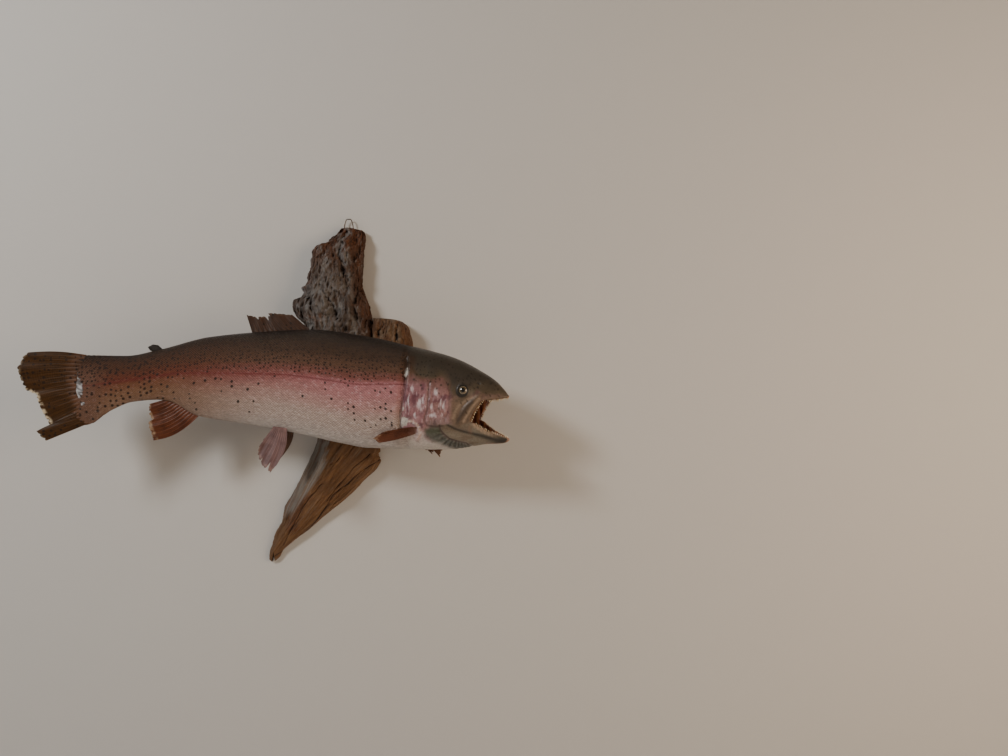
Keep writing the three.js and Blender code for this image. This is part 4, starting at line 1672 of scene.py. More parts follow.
@dataclass(frozen=True)
class HeadTones:
    """The head's colours where they differ from the body's markings."""

    crown: Colour = (0.043, 0.035, 0.026)
    snout: Colour = (0.085, 0.062, 0.038)
    rust: Colour = (0.150, 0.070, 0.056)
    tan: Colour = (0.165, 0.112, 0.075)
    cheek: Colour = (0.28, 0.148, 0.142)
    cover: Colour = (0.275, 0.130, 0.145)
    rose: Colour = (0.39, 0.230, 0.240)
    plum: Colour = (0.120, 0.040, 0.058)
    # The pale tone of the painted highlights on the gill cover, cheek and fin fold.
    painted_highlight: Colour = (0.74, 0.68, 0.73)
    fold: Colour = (0.56, 0.43, 0.38)
    gular: Colour = (0.102, 0.104, 0.086)
    moss: Colour = (0.070, 0.078, 0.045)
    gular_dark: Colour = (0.028, 0.028, 0.021)
    belly: Colour = (0.52, 0.470, 0.435)
    jaw: Colour = (0.195, 0.162, 0.120)
    jaw_brown: Colour = (0.135, 0.092, 0.060)
    jaw_dark: Colour = (0.026, 0.021, 0.016)
    jaw_lip: Colour = (0.36, 0.26, 0.18)
    maxilla: Colour = (0.125, 0.082, 0.052)
    maxilla_band: Colour = (0.060, 0.040, 0.028)
    mouth: Colour = (0.130, 0.042, 0.022)
    # palate: the fold crests' tone, the tissue's own colour brightened as painted light.
    palate: Colour = (0.36, 0.165, 0.080)
    tongue: Colour = (0.30, 0.125, 0.075)
    groove: Colour = (0.050, 0.026, 0.024)


@dataclass
class HeadDetail:
    """Fine forms and tones of the head, worked out from where its points lie."""

    straight: Array
    skin: Skin
    tones_of: HeadTones = HeadTones()
    preopercle: Pairs = (
        (157, 4), (156, -14), (154.5, -34), (149.5, -50), (153, -57), (166, -59), (178, -57.5),
    )
    opercle_seam: Pairs = ((150, -36), (138, -43), (124, -46), (116.5, -45))
    lower_seam: Pairs = ((149, -54), (136, -60), (120, -63))
    cover_top: Pairs = ((124, 36), (134, 22), (146, 12), (157, 4))
    cheek_seam: Pairs = ((190, 2), (187.5, -14), (186.5, -34), (180, -50))
    brow: Pairs = ((157, 5), (172, 6), (188, 5), (194, 1))
    jaw_seam: Pairs = (
        (172, -57), (173, -64), (178, -70), (185, -76.5), (198, -80.5), (208, -83), (214, -89),
    )
    gular_outline: Pairs = (
        (150, -63), (160, -60), (172, -59), (176, -68), (184, -76), (198, -80.5), (208, -83),
        (214, -90), (207, -95), (190, -94), (178, -88), (166, -83), (155, -77.5), (149, -71),
    )
    fan: Pair = (208.0, -61.0)
    fin_fold: Pairs = ((124, -50), (131, -50.5), (137, -54), (140.5, -61), (140.5, -69), (136, -76))
    jaw_streak: Pairs = (
        (180, -54), (193, -61), (203, -64.5), (216, -68), (231, -71.5), (254, -79), (272, -80),
    )
    blade_dark: Pairs = ((221, -23), (212.5, -33), (205, -43), (200, -50))
    blade_behind: Pairs = ((226, -14.5), (212, -20.5), (202, -28), (196.5, -36), (193, -46))
    blade_ahead: Pairs = ((231, -18.5), (222, -29.5), (214.5, -41), (208, -51))
    speckles: Pairs = (
        (145, 1), (159, 6), (175, 1), (169, -4), (228, -2), (245, 3), (144, 16), (255, -5), (185, 2),
        (134, 9), (152, 14), (166, 14), (137, 24), (196, 12), (213, 14),
    )
    # Painted highlights on the gill cover and cheek: station, height, half length and half height of each.
    highlight_patches: Sequence[tuple[float, float, float, float]] = (
        (126, -22, 1.6, 10.0), (143, -27, 3.6, 9.0), (131, -4, 2.4, 7.0), (179, -29, 1.5, 8.0),
        (175, -24, 1.3, 7.0), (161, -30, 1.8, 6.5), (167, -8, 3.6, 5.5), (162, -42, 6.0, 3.6),
        (148, -20, 1.4, 7.0), (135, -42, 1.4, 5.0),
    )
    cover_outline: Pairs = (
        (124, 34), (134, 20), (146, 11), (156, 3), (156, -14), (154, -34), (149, -50), (150, -56),
        (136, -61), (119, -64), (112, -60), (114, -50), (117, -20), (122, 2), (124, 20),
    )
    cheek_outline: Pairs = (
        (158, 3), (172, 4), (187, 2), (186, -14), (185, -34), (180, -50), (178, -56), (166, -57),
        (154, -55), (150.5, -50), (156, -34), (157.5, -14),
    )
    jaw_outline: Pairs = (
        (172, -57), (186, -55), (200, -57), (218, -53), (226, -56), (238, -65), (252, -71), (272, -76),
        (274, -90), (216, -94), (212, -88), (208, -82.5), (198, -80), (185, -76), (178, -70),
        (173, -64),
    )
    nostril: tuple[Pair, ...] = ((229.5, 3.0), (226.5, 4.4))
    rays: int = 9

    def __post_init__(self) -> None:
        """Reads the coordinates and works out what several details share."""
        self.station, self.side, self.height = self.straight.T
        self.grain = rough(self.straight, 14.0, 3)
        top, low, reach = self.skin.mouth(self.station)
        up = (2 * self.height - top - low) / (top - low)
        out = self.side / reach
        inside = smooth_step(1.22, 1.08, np.hypot(up, out)) * self.ahead(164, 172)
        gape = smooth_step(-1.6, 0.4, inside_outline(self.station, self.height, self.skin.gape))
        deep = smooth_step(0.8, 2.6, BODY.side(self.station, self.height) - np.abs(self.side))
        self.inside = np.maximum(inside, gape * deep)
        self.outer = 1 - self.inside
        self.angle = BODY.angle_at(self.straight)

    def ahead(self, low: float, high: float, wander: float = 0.0) -> Array:
        """0 at the low station, 1 at the high one, along a line that wanders so far."""
        return smooth_step(low, high, self.station + wander * self.grain)

    def above(self, low: float, high: float, wander: float = 0.0) -> Array:
        """0 at the low height, 1 at the high one, along a line that wanders so far."""
        return smooth_step(low, high, self.height + wander * self.grain)

    def apart(self, line: Pairs) -> Array:
        """The distance to a line on the side of the head."""
        return line_distance(self.station, self.height, line)

    def near(self, line: Pairs, width: float) -> Array:
        """A bell along a seam on the outer skin."""
        return bell(self.apart(line), width) * self.outer

    def within(self, outline: Pairs, soft: float) -> Array:
        """1 inside an outline on the outer skin, with a soft edge."""
        return smooth_step(-soft, soft, inside_outline(self.station, self.height, outline)) * self.outer

    def throat_rays(self) -> tuple[Array, Array]:
        """The folded membrane behind the jaw: its fan of rays from -1 to 1, and where they are."""
        turn = np.arctan2(self.fan[1] - self.height, self.fan[0] - self.station) + 0.06 * self.grain
        return np.cos(4 * turn * self.rays), self.within(self.gular_outline, 5.0)

    def rise(self) -> Array:
        """How far each point moves outwards, in millimetres.

        Returns:
            One distance for each point.
        """
        ridges, where = self.throat_rays()
        rise = 0.22 * self.grain * self.outer
        rise += 0.55 * self.within(self.cover_outline, 2.8) + 0.4 * self.within(self.cheek_outline, 3.0)
        rise += 0.5 * ridges * where
        rise -= 0.9 * self.near(self.preopercle, 1.5) + 0.4 * self.near(self.opercle_seam, 1.4)
        rise -= 0.6 * self.near(self.lower_seam, 1.4) + 0.15 * self.near(self.cover_top, 2.4)
        rise -= 0.5 * self.near(self.cheek_seam, 1.8) + 0.3 * self.near(self.brow, 2.2)
        rise -= 1.0 * self.near(self.jaw_seam, 1.6) + 0.7 * self.near(self.jaw_streak, 2.2)
        rise += 0.35 * self.streaks((7.0, 7.0, 16.0), 5.0) * self.within(self.cover_outline, 3.0)
        fold = 1.5 * self.near(self.fin_fold, 2.3)
        rise += fold + 0.5 * self.streaks((3.0, 3.0, 5.0), 8.0) * self.near(self.fin_fold, 5.0)
        for station, height in self.nostril:
            rise -= 1.3 * bell(np.hypot(self.station - station, self.height - height), 1.3) * self.outer
        return rise + 0.75 * self.folds(1.5) * self.inside * smooth_step(4, 9, np.abs(self.side))

    def folds(self, wander: float) -> Array:
        """The folds across the palate, from -1 to 1, which wander so far."""
        return np.sin(self.station * 0.62 + 0.8 * np.sin(self.height * 0.11) + wander * self.grain)

    def streaks(self, pitch: Sequence[float], shift: float) -> Array:
        """Noise drawn out along one axis, from about -1 to 1."""
        return rough(self.straight, pitch, 3, shift)

    def tones(self) -> Array:
        """Red, green, blue and cover for each point.

        Returns:
            One row of four numbers for each point.
        """
        self.colour = np.tile(np.array(self.tones_of.cheek), (len(self.straight), 1))
        self.soft = self.streaks((9.0, 9.0, 13.0), 9.0)
        self._cover_tones()
        self._crown_tones()
        self._throat_tones()
        self._jaw_tones()
        self._seam_tones()
        self._fold_tones()
        self._mouth_tones()
        edge = self.skin.gill_station(self.height)
        nape = self.above(38, 46)
        bare = self.above(8, 20) * self.ahead(142, 120, 5)
        cover = smooth_step(-2.5, 0.5, self.station - edge) * (1 - nape) * (1 - bare)
        cover = cover + self.ahead(112, 140, 6) * nape
        return np.column_stack([self.colour, np.clip(cover, 0, 1)])

    def lay(self, tone: Colour, share: Array) -> None:
        """Blends a tone over what is there."""
        self.colour += (np.array(tone) - self.colour) * np.clip(share, 0, 1)[:, None]

    def _cover_tones(self) -> None:
        """The gill cover and cheek: plum and rose patches with soft painted highlights."""
        tones = self.tones_of
        self.lay(tones.cover, self.within(self.cover_outline, 6.0))
        self.lay(tones.plum, smooth_step(0.05, -0.40, self.soft) * 0.75)
        self.lay(tones.rose, smooth_step(0.0, 0.5, self.streaks((7.0, 7.0, 20.0), 2.0)) * 0.7)
        shadow = np.hypot((self.station - 135) / 4.5, (self.height + 19) / 13) + 0.25 * self.grain
        self.lay(tones.plum, smooth_step(1.2, 0.5, shadow) * self.outer * 0.8)
        # Painted highlights: soft pale streaks where the varnished cover catches the light.
        wisps = self.streaks((2.2, 2.2, 12.0), 4.0)
        for station, height, long, tall in self.highlight_patches:
            bowed = station + 2.2 * ((self.height - height) / tall) ** 2
            reach = np.hypot((self.station - bowed) / long, (self.height - height) / tall) + 0.8 * wisps
            self.lay(tones.painted_highlight, smooth_step(1.25, 0.2, reach) * self.outer * 0.72)
        # Painted highlights: pale streaks on the lower front of the cheek.
        front = self.ahead(192, 180) * self.above(-58, -46)
        low = smooth_step(10, -6, self.height + 0.35 * (self.station - 130))
        self.lay(tones.painted_highlight, smooth_step(0.25, 0.62, wisps) * front * low * 0.38)
        self.lay(tones.gular, self.above(-40, -54, 4) * self.ahead(150, 160) * 0.45)
        tan = self.ahead(184, 194) * self.above(-10, -24, 4)
        self.lay(tones.tan, tan * 0.95)
        self.lay(tones.snout, smooth_step(0.05, 0.5, self.streaks((8.0, 8.0, 8.0), 1.0)) * tan * 0.4)

    def _crown_tones(self) -> None:
        """The dark top of the head, which reaches round the eye and over the snout."""
        tones = self.tones_of
        places = (118, 137, 150, 160, 176, 184, 194, 206, 216, 226, 240, 256, 270)
        levels = (10, 6, 5, 3, 2, -3, -18, -25, -20, -13, -14, -16, -22)
        crown_low = np.interp(self.station, places, levels)
        above = self.height - crown_low + 5 * self.grain
        behind_eye = self.ahead(192, 176)
        self.lay(tones.rust, smooth_step(-10, 6, above) * behind_eye * 0.9)
        self.lay(tones.snout, smooth_step(-7, 9, above) * (1 - behind_eye))
        self.lay(tones.snout, smooth_step(2, 14, above) * behind_eye)
        self.lay(tones.crown, smooth_step(5, 27, above) * 0.95)
        edge = self.apart(self.skin.upper_lip)
        self.lay(tones.tan, bell(edge, 4.5) * 0.7 * self.ahead(232, 240))
        # Painted highlight: a soft paler patch in front of the eye.
        lit = np.hypot((self.station - 218) / 6, (self.height + 9) / 5) + 0.3 * self.grain
        self.lay(tones.jaw, smooth_step(1.4, 0.3, lit) * self.outer * 0.4)
        for station, height in self.speckles:
            reach = np.hypot(self.station - station, self.height - height) + 0.5 * self.grain
            self.lay(tones.jaw_dark, smooth_step(2.2, 1.0, reach) * self.outer * 0.85)

    def _throat_tones(self) -> None:
        """The pale throat and the dark, striped membrane behind the jaw."""
        tones = self.tones_of
        ridges, where = self.throat_rays()
        self.lay(tones.belly, smooth_step(-0.80, -1.05, self.angle + 0.08 * self.grain))
        under_cover = self.above(-60, -69, 3) * self.ahead(154, 144)
        self.lay(tones.belly, under_cover * self.outer * 0.85)
        self.lay(tones.gular, where * 0.95)
        self.lay(tones.moss, where * self.above(-74, -64) * 0.8)
        blotch = smooth_step(-0.5, 0.3, self.streaks((6.0, 6.0, 6.0), 13.0))
        barred = self.ahead(158, 178)
        self.lay(tones.gular_dark, where * smooth_step(0.5, -0.8, ridges) * (0.15 + 0.65 * barred * blotch))
        self.lay(tones.gular_dark, where * self.ahead(172, 194) * 0.5)
        self.lay(tones.belly, where * smooth_step(0.6, 1.0, ridges) * barred * (1 - blotch) * 0.25)

    def _jaw_tones(self) -> None:
        """The lower jaw with its pale lip and dark streak, and the blade of the upper jaw."""
        tones = self.tones_of
        jaw = self.within(self.jaw_outline, 1.5)
        lip = self.apart(self.skin.lower_lip)
        self.lay(tones.jaw, jaw)
        rear = self.above(-72, -60) * self.ahead(228, 204)
        self.lay(tones.jaw_brown, jaw * rear * 0.7)
        self.lay(tones.jaw_brown, jaw * smooth_step(0.0, 0.5, self.streaks((22.0, 6.0, 4.0), 6.0)) * 0.6)
        width = np.interp(self.station, (180, 216, 236, 262), (1.6, 2.2, 3.6, 5.5))
        streak = bell(self.apart(self.jaw_streak) / width, 1.0)
        self.lay(tones.jaw_dark, jaw * streak * 0.92)
        self.lay(tones.jaw_dark, jaw * self.above(-86, -92, 2) * 0.5)
        self.lay(tones.jaw_dark, jaw * self.ahead(244, 266, 3) * 0.75)
        pale_lip = smooth_step(5.0, 1.5, lip) * self.outer * self.ahead(258, 236)
        self.lay(tones.jaw_lip, pale_lip * (0.75 + 0.25 * np.sin(self.station * 1.3)))
        maxilla = self.apart(self.skin.maxilla)
        half = np.interp(self.height, (-55, -44, -32, -22, -14), (3.2, 9.0, 8.2, 6.4, 4.0))
        blade = smooth_step(half + 1.4, half - 2.0, maxilla) * self.outer * self.ahead(241, 232)
        self.lay(tones.maxilla, blade * 0.8)
        self.lay(tones.maxilla_band, self.near(self.blade_dark, 2.6) * 0.85)
        self.lay(tones.jaw_lip, self.near(self.blade_behind, 2.0) * 0.5)
        self.lay(tones.jaw_lip, self.near(self.blade_ahead, 1.8) * 0.65)

    def _seam_tones(self) -> None:
        """Dark lines in the seams and round the eye."""
        tones = self.tones_of
        for seam, share in (
            (self.preopercle, 0.6), (self.opercle_seam, 0.25), (self.jaw_seam, 0.8), (self.lower_seam, 0.5),
            (self.cheek_seam, 0.35),
        ):
            self.lay(tones.groove, self.near(seam, 1.3) * share)
        for station, height in self.nostril:
            nostril = np.hypot(self.station - station, self.height - height)
            self.lay(tones.jaw_dark, bell(nostril, 1.2) * self.outer)
        socket = np.hypot(self.station - EYE.station, self.height - EYE.height)
        self.lay(tones.tan, bell(socket - 13.0, 2.6) * self.outer * 0.10)
        self.lay(tones.jaw_dark, smooth_step(10.4, 8.8, socket) * self.outer)

    def _fold_tones(self) -> None:
        """The pale fold of skin round the pectoral fin's root, with painted highlights on it."""
        tones = self.tones_of
        self.lay(tones.rose, self.near(self.fin_fold, 5.5) * 0.55)
        self.lay(tones.fold, self.near(self.fin_fold, 2.0) * 0.85)
        # Painted highlights: pale streaks along the fold where it catches the light.
        fold_highlights = smooth_step(0.15, 0.5, self.streaks((3.0, 3.0, 4.0), 15.0))
        self.lay(tones.painted_highlight, self.near(self.fin_fold, 3.6) * fold_highlights * 0.7)
        beside = self.near(self.fin_fold, 5.5) * (1 - self.near(self.fin_fold, 3.4))
        self.lay(tones.groove, beside * smooth_step(0.0, -0.35, self.soft) * 0.6)

    def _mouth_tones(self) -> None:
        """The palate's folds, lightened on their crests as painted light, and the tongue."""
        tones = self.tones_of
        self.lay(tones.mouth, self.inside * self.ahead(272, 262))
        # The palate tone is laid on the fold crests: the tissue's own colour, made lighter as painted light
        # inside the mouth.
        self.lay(tones.palate, self.inside * smooth_step(-0.5, 0.7, self.folds(2.5)) * 0.7)
        tongue = np.abs((self.straight - self.skin.tongue) / self.skin.tongue_half)
        self.lay(tones.tongue, smooth_step(1.35, 1.1, np.linalg.norm(tongue, axis=1)) * self.inside)


# ------ pieces set on points


class PieceSetter:
    """A Geometry Nodes tree that sets one small piece on every point of a mesh.

    The points carry the way out of the surface and the way that the piece lies. The result is
    a plain mesh whose pieces keep their own attributes and a random tint each.
    """

    def __init__(self) -> None:
        """Builds the tree once, for every kind of piece: set on points, turn, tint and realize."""
        inputs = {
            "Points": "Geometry", "Piece": "Object", "Lift": "Float", "Wobble": "Float",
            "Least Size": "Float", "Seed": "Int", "Finish": "Material",
        }
        weave, given, taken = new_tree("pieces on points", "Geometry", inputs, {"Pieces": "Geometry"})
        self.weave, self.seed, self.tree = weave, given["Seed"], weave.tree
        piece = weave.flow(
            "GeometryNodeObjectInfo", given["Piece"], output="Geometry", transform_space="ORIGINAL"
        )
        turn = weave.flow(
            "FunctionNodeAxesToRotation", self._read("outward"), self._read("lying"),
            primary_axis="Z", secondary_axis="Y",
        )
        swing = self._random(-1.0) * given["Wobble"]
        angles = weave.flow("ShaderNodeCombineXYZ", given["Lift"], 0.0, swing)
        tilt = weave.flow("FunctionNodeRotateRotation", turn, angles, rotation_space="LOCAL")
        spread = weave.flow("ShaderNodeMapRange", self._random(0.0), 0.0, 1.0, given["Least Size"])
        size = weave.flow("ShaderNodeVectorMath", self._read("size"), operation="SCALE", Scale=spread)
        points = {"Points": given["Points"], "Instance": piece, "Rotation": tilt, "Scale": size}
        pieces = weave.flow("GeometryNodeInstanceOnPoints", **points)
        tint = weave.node(
            "GeometryNodeStoreNamedAttribute", pieces, data_type="FLOAT", domain="INSTANCE", Name="tint"
        )
        weave.feed(next(s for s in tint.inputs if s.enabled and s.name == "Value"), self._random(0.0))
        real = weave.flow("GeometryNodeRealizeInstances", tint.outputs[0])
        finish = weave.flow("GeometryNodeSetMaterial", real, Material=given["Finish"])
        weave.feed(taken["Pieces"], finish)

    def _read(self, name: str) -> Flow:
        """A vector that the points carry."""
        node = self.weave.node("GeometryNodeInputNamedAttribute", data_type="FLOAT_VECTOR", Name=name)
        return Flow(self.weave, next(s for s in node.outputs if s.enabled and s.name == "Attribute"))

    def _random(self, low: float) -> Flow:
        """A random number for each point, from low to 1.

        Args:
            low: the smallest number.

        Returns:
            The number.
        """
        node = self.weave.node("FunctionNodeRandomValue", data_type="FLOAT", Seed=self.seed)
        self.weave.feed(node.inputs[2], low)
        return Flow(self.weave, node.outputs[1])

    def set_pieces(
        self, name: str, points: "PointSet", piece: Object, finish: Material,
        lift: float, wobble: float, least_size: float,
    ) -> Object:
        """Sets a piece on every point and makes the result a plain mesh.

        Args:
            name: the new object's name.
            points: where the pieces go.
            piece: the piece, with its root at its origin, +Y where it lies and +Z outwards.
            finish: the material of the pieces.
            lift: how far each piece is tilted up, in radians.
            wobble: the most that a piece is turned to either side, in radians.
            least_size: the smallest size as a share of the full one.

        Returns:
            The pieces as one object.
        """
        return grown(
            points.as_object(name), self.tree, Piece=piece, Lift=lift, Wobble=wobble,
            Least_Size=least_size, Seed=SEED, Finish=finish,
        )


@dataclass
class PointSet:
    """Points of a surface that carry small pieces, in metres of the row frame."""

    places: Array
    outward: Array
    lying: Array
    size: Array

    def as_object(self, name: str) -> Object:
        """The points as a mesh object that keeps their directions and sizes.

        Args:
            name: the new object's name.

        Returns:
            The new object.
        """
        thing = add_object(name, self.places, [], [])
        for slot in ("outward", "lying", "size"):
            store(thing, slot, getattr(self, slot))
        return thing

    def chosen(self, mask: Array) -> "PointSet":
        """The points that a mask keeps."""
        return PointSet(self.places[mask], self.outward[mask], self.lying[mask], self.size[mask])


# ------ scales


@dataclass
class ScaleCoat:
    """The overlapping scales, in rows that run along the lateral line and close up at the tail."""

    along_pitch: Pairs = ((-372, 2.9), (-290, 3.3), (-200, 3.8), (-100, 4.3), (60, 4.4), (124, 3.6))
    row_pitch: Pairs = ((-372, 1.2), (-290, 1.4), (-200, 1.7), (-100, 1.95), (0, 2.0), (124, 1.75))
    first: float = -372.0
    last: float = 127.0
    length: float = 1.55
    width: float = 1.16
    sunk: float = 0.25
    thick: float = 0.03
    dome: float = 0.07
    lift: float = 0.075
    wobble: float = 0.05
    least_size: float = 0.92
    margin: float = 0.7
    nape: float = 126.0
    nape_above: float = 42.0
    throat_below: float = -62.0
    jitter: float = 0.35
    least_torn: float = 0.5
    tail_edge: Pairs = ((-346, -58), (-352, -44), (-362, -28), (-369, -8), (-371, 14), (-364, 46))
    shrink: float = 0.42
    patch: float = 0.003

    def template(self) -> Object:
        """One scale of unit length and width: a thin shell with a rounded, slightly domed end.

        Returns:
            The scale, with its own coordinates stored on its corners.
        """
        outline = ((0.0, 0.66), (0.50, 1.0), (0.83, 0.74), (1.0, 0.0))
        rim = [(-half, reach) for reach, half in outline]
        rim += [(half, reach) for reach, half in outline[-2::-1]]
        spine = [(0.0, 0.5)]

        def height(across: float, along: float) -> float:
            """How far the top stands above the scale's plane."""
            domed = (1 - across**2) * math.sin(math.pi * min(1.0, 0.25 + along * 0.75))
            return self.thick + self.dome * domed

        count = len(rim)
        top = [(x / 2, y, height(x, y)) for x, y in [*rim, *spine]]
        under = [(x / 2, y, height(x, y) - self.thick) for x, y in rim]
        faces = [[i, (i + 1) % count, count] for i in range(count)]
        start = count + len(spine)
        for i in range(count):
            j = (i + 1) % count
            faces.append([i, start + i, start + j, j])
        faces.append([start + i for i in range(count)][::-1])
        thing = make_object("scale template", np.array([*top, *under]), faces)
        flat = np.array([(x, y, 1.0) for x, y in [*rim, *spine]] + [(x, y, 0.0) for x, y in rim])
        store(thing, "on_scale", flat)
        return thing

    def roots(self) -> tuple[Array, Array, Array]:
        """Where the scales are rooted.

        Returns:
            The stations, the angles round the flank, and -1 or 1 for the flank, of every scale.
        """
        pitch, row = smooth_curve(self.along_pitch), smooth_curve(self.row_pitch)
        stations, angles, flanks = [], [], []
        table_stations, table_angles, table = BODY.girth_table
        station, ring = self.first, 0
        while station < self.last:
            here = np.array(station)
            girth = np.array([np.interp(station, table_stations, column) for column in table.T])
            back, belly = BODY.ends(here)
            rise = float((2 * BODY.curves["lateral_line"](here) - back - belly) / (back - belly))
            line = float(np.interp(math.asin(rise), table_angles, girth))
            step = float(row(here))
            count = int(max(line, girth[0] - line) / step) + 2
            rows = np.arange(-count, count + 1)
            rows = rows[(rows + ring) % 2 == 0]
            run = line + rows * step
            run = run[(run > self.margin) & (run < girth[0] - self.margin)]
            turned = np.interp(run, girth[::-1], table_angles[::-1])
            for flank in (-1, 1):
                stations.append(np.full(len(turned), station))
                angles.append(turned)
                flanks.append(np.full(len(turned), flank))
            station += float(pitch(here)) / 2
            ring += 1
        return np.concatenate(stations), np.concatenate(angles), np.concatenate(flanks)

    def points(self) -> tuple[PointSet, Array, Array]:
        """The scales' roots with their directions and sizes.

        Returns:
            The points, the place of each root on the unrolled body, and its height on the flank.
        """
        stations, angles, flanks = self.roots()
        rng = np.random.default_rng(SEED)
        stations = stations + rng.uniform(-self.jitter, self.jitter, len(stations))
        heights = BODY.section(stations, angles)[:, 2]
        skin = Skin()
        edge = skin.gill_station(heights)
        nape = heights > self.nape_above
        front = np.where(nape, self.nape + 0.12 * (heights - 52), edge - 2.0)
        front = np.where(heights < self.throat_below, edge - 5.0, front)
        scatter = np.where(nape, 4.0, 1.0) * rng.uniform(-1.2, 0.6, len(stations))
        rear = np.interp(heights, *zip(*[(z, x) for x, z in self.tail_edge]))
        keep = (stations < front + scatter) & (stations > rear + rng.uniform(-1.0, 1.5, len(stations)))
        roots = np.column_stack([stations, flanks, heights])
        for behind in (0.0, 1.5, 3.0, 4.5):
            keep &= TORN_AND_HIGHLIGHTS.share(roots - (behind, 0, 0)) < self.least_torn
        stations, angles, flanks = stations[keep], angles[keep], flanks[keep]

        def place(station: Array, angle: Array) -> Array:
            """Bent places at stations and angles on each scale's flank.

            Args:
                station: the stations, in millimetres.
                angle: the angles round the flank, in radians.

            Returns:
                Points in metres of the row frame, in rows.
            """
            grow = skin.under(station) - self.sunk
            straight = BODY.section(station, angle, grow)
            straight[:, 1] *= flanks
            return POSE.bend(straight)

        here = place(stations, angles)
        lying = place(stations - 0.5, angles) - place(stations + 0.5, angles)
        around = place(stations, angles + 0.01) - place(stations, angles - 0.01)
        lying = unit(lying)
        outward = unit(np.cross(lying, around) * flanks[:, None])
        middle = POSE.bend(np.column_stack([stations, np.zeros(len(stations)), heights[keep] * 0.4]))
        outward *= np.sign((outward * (here - middle)).sum(axis=1))[:, None]
        pitch, row = smooth_curve(self.along_pitch)(stations), smooth_curve(self.row_pitch)(stations)
        ahead = (front[keep] - stations) / pitch
        near_edge = self.shrink + (1 - self.shrink) * smooth_step(0.0, 2.5, ahead)
        near_edge *= 0.6 + 0.4 * smooth_step(0.0, 3.0, (stations - rear[keep]) / pitch)
        size = np.column_stack([row * 2 * self.width, pitch * self.length, pitch * self.length * 0.8]) * MM
        size *= near_edge[:, None]
        table = BODY.girth_from_back(stations, angles) * flanks
        unrolled = np.column_stack([(stations + 400) / 600, 0.5 + table / 600])
        return PointSet(here, outward, lying, size), unrolled, angles

    def build(self, setter: PieceSetter, finish: Material) -> list[Object]:
        """Builds the scales as three pieces for each flank: belly, flank and back.

        Args:
            setter: what sets pieces on points.
            finish: the scales' material.

        Returns:
            The six pieces.
        """
        template = self.template()
        corners = len(template.data.vertices)
        flat = np.empty(corners * 3, dtype=np.float32)
        template.data.attributes["on_scale"].data.foreach_get("vector", flat)
        local = flat.reshape(-1, 3)[:, :2] * (0.5, 1.0)
        points, unrolled, angles = self.points()
        right = unrolled[:, 1] < 0.5
        levels = np.quantile(angles, (1 / 3, 2 / 3))
        third = np.digitize(angles, levels)
        parts = []
        for side, flank in (("right", right), ("left", ~right)):
            for level, label in enumerate(("belly", "flank", "back")):
                name, mask = f"scales_{side}_{label}", flank & (third == level)
                chosen = points.chosen(mask)
                piece = setter.set_pieces(
                    name, chosen, template, finish, self.lift, self.wobble, self.least_size
                )
                self._mark(piece, unrolled[mask], local)
                parts.append(piece)
        bpy.data.objects.remove(template)
        return parts

    def _mark(self, piece: Object, unrolled: Array, local: Array) -> None:
        """Stores the markings' place of each corner and a map with a small patch for each scale.

        Args:
            piece: the scales.
            unrolled: each scale's root on the unrolled body, from 0 to 1.
            local: the template's corners, across and along.
        """
        store(piece, "lie", BODY.lie(POSE.straighten(points_of(piece))))
        spread = np.repeat(unrolled, len(local), axis=0) + np.tile(local, (len(unrolled), 1)) * self.patch
        corners = np.empty(len(piece.data.loops), dtype=np.int32)
        piece.data.loops.foreach_get("vertex_index", corners)
        layer = piece.data.uv_layers.new(name="OFBake")
        layer.uv.foreach_set("vector", spread[corners].astype(np.float32).ravel())


# ------ fins


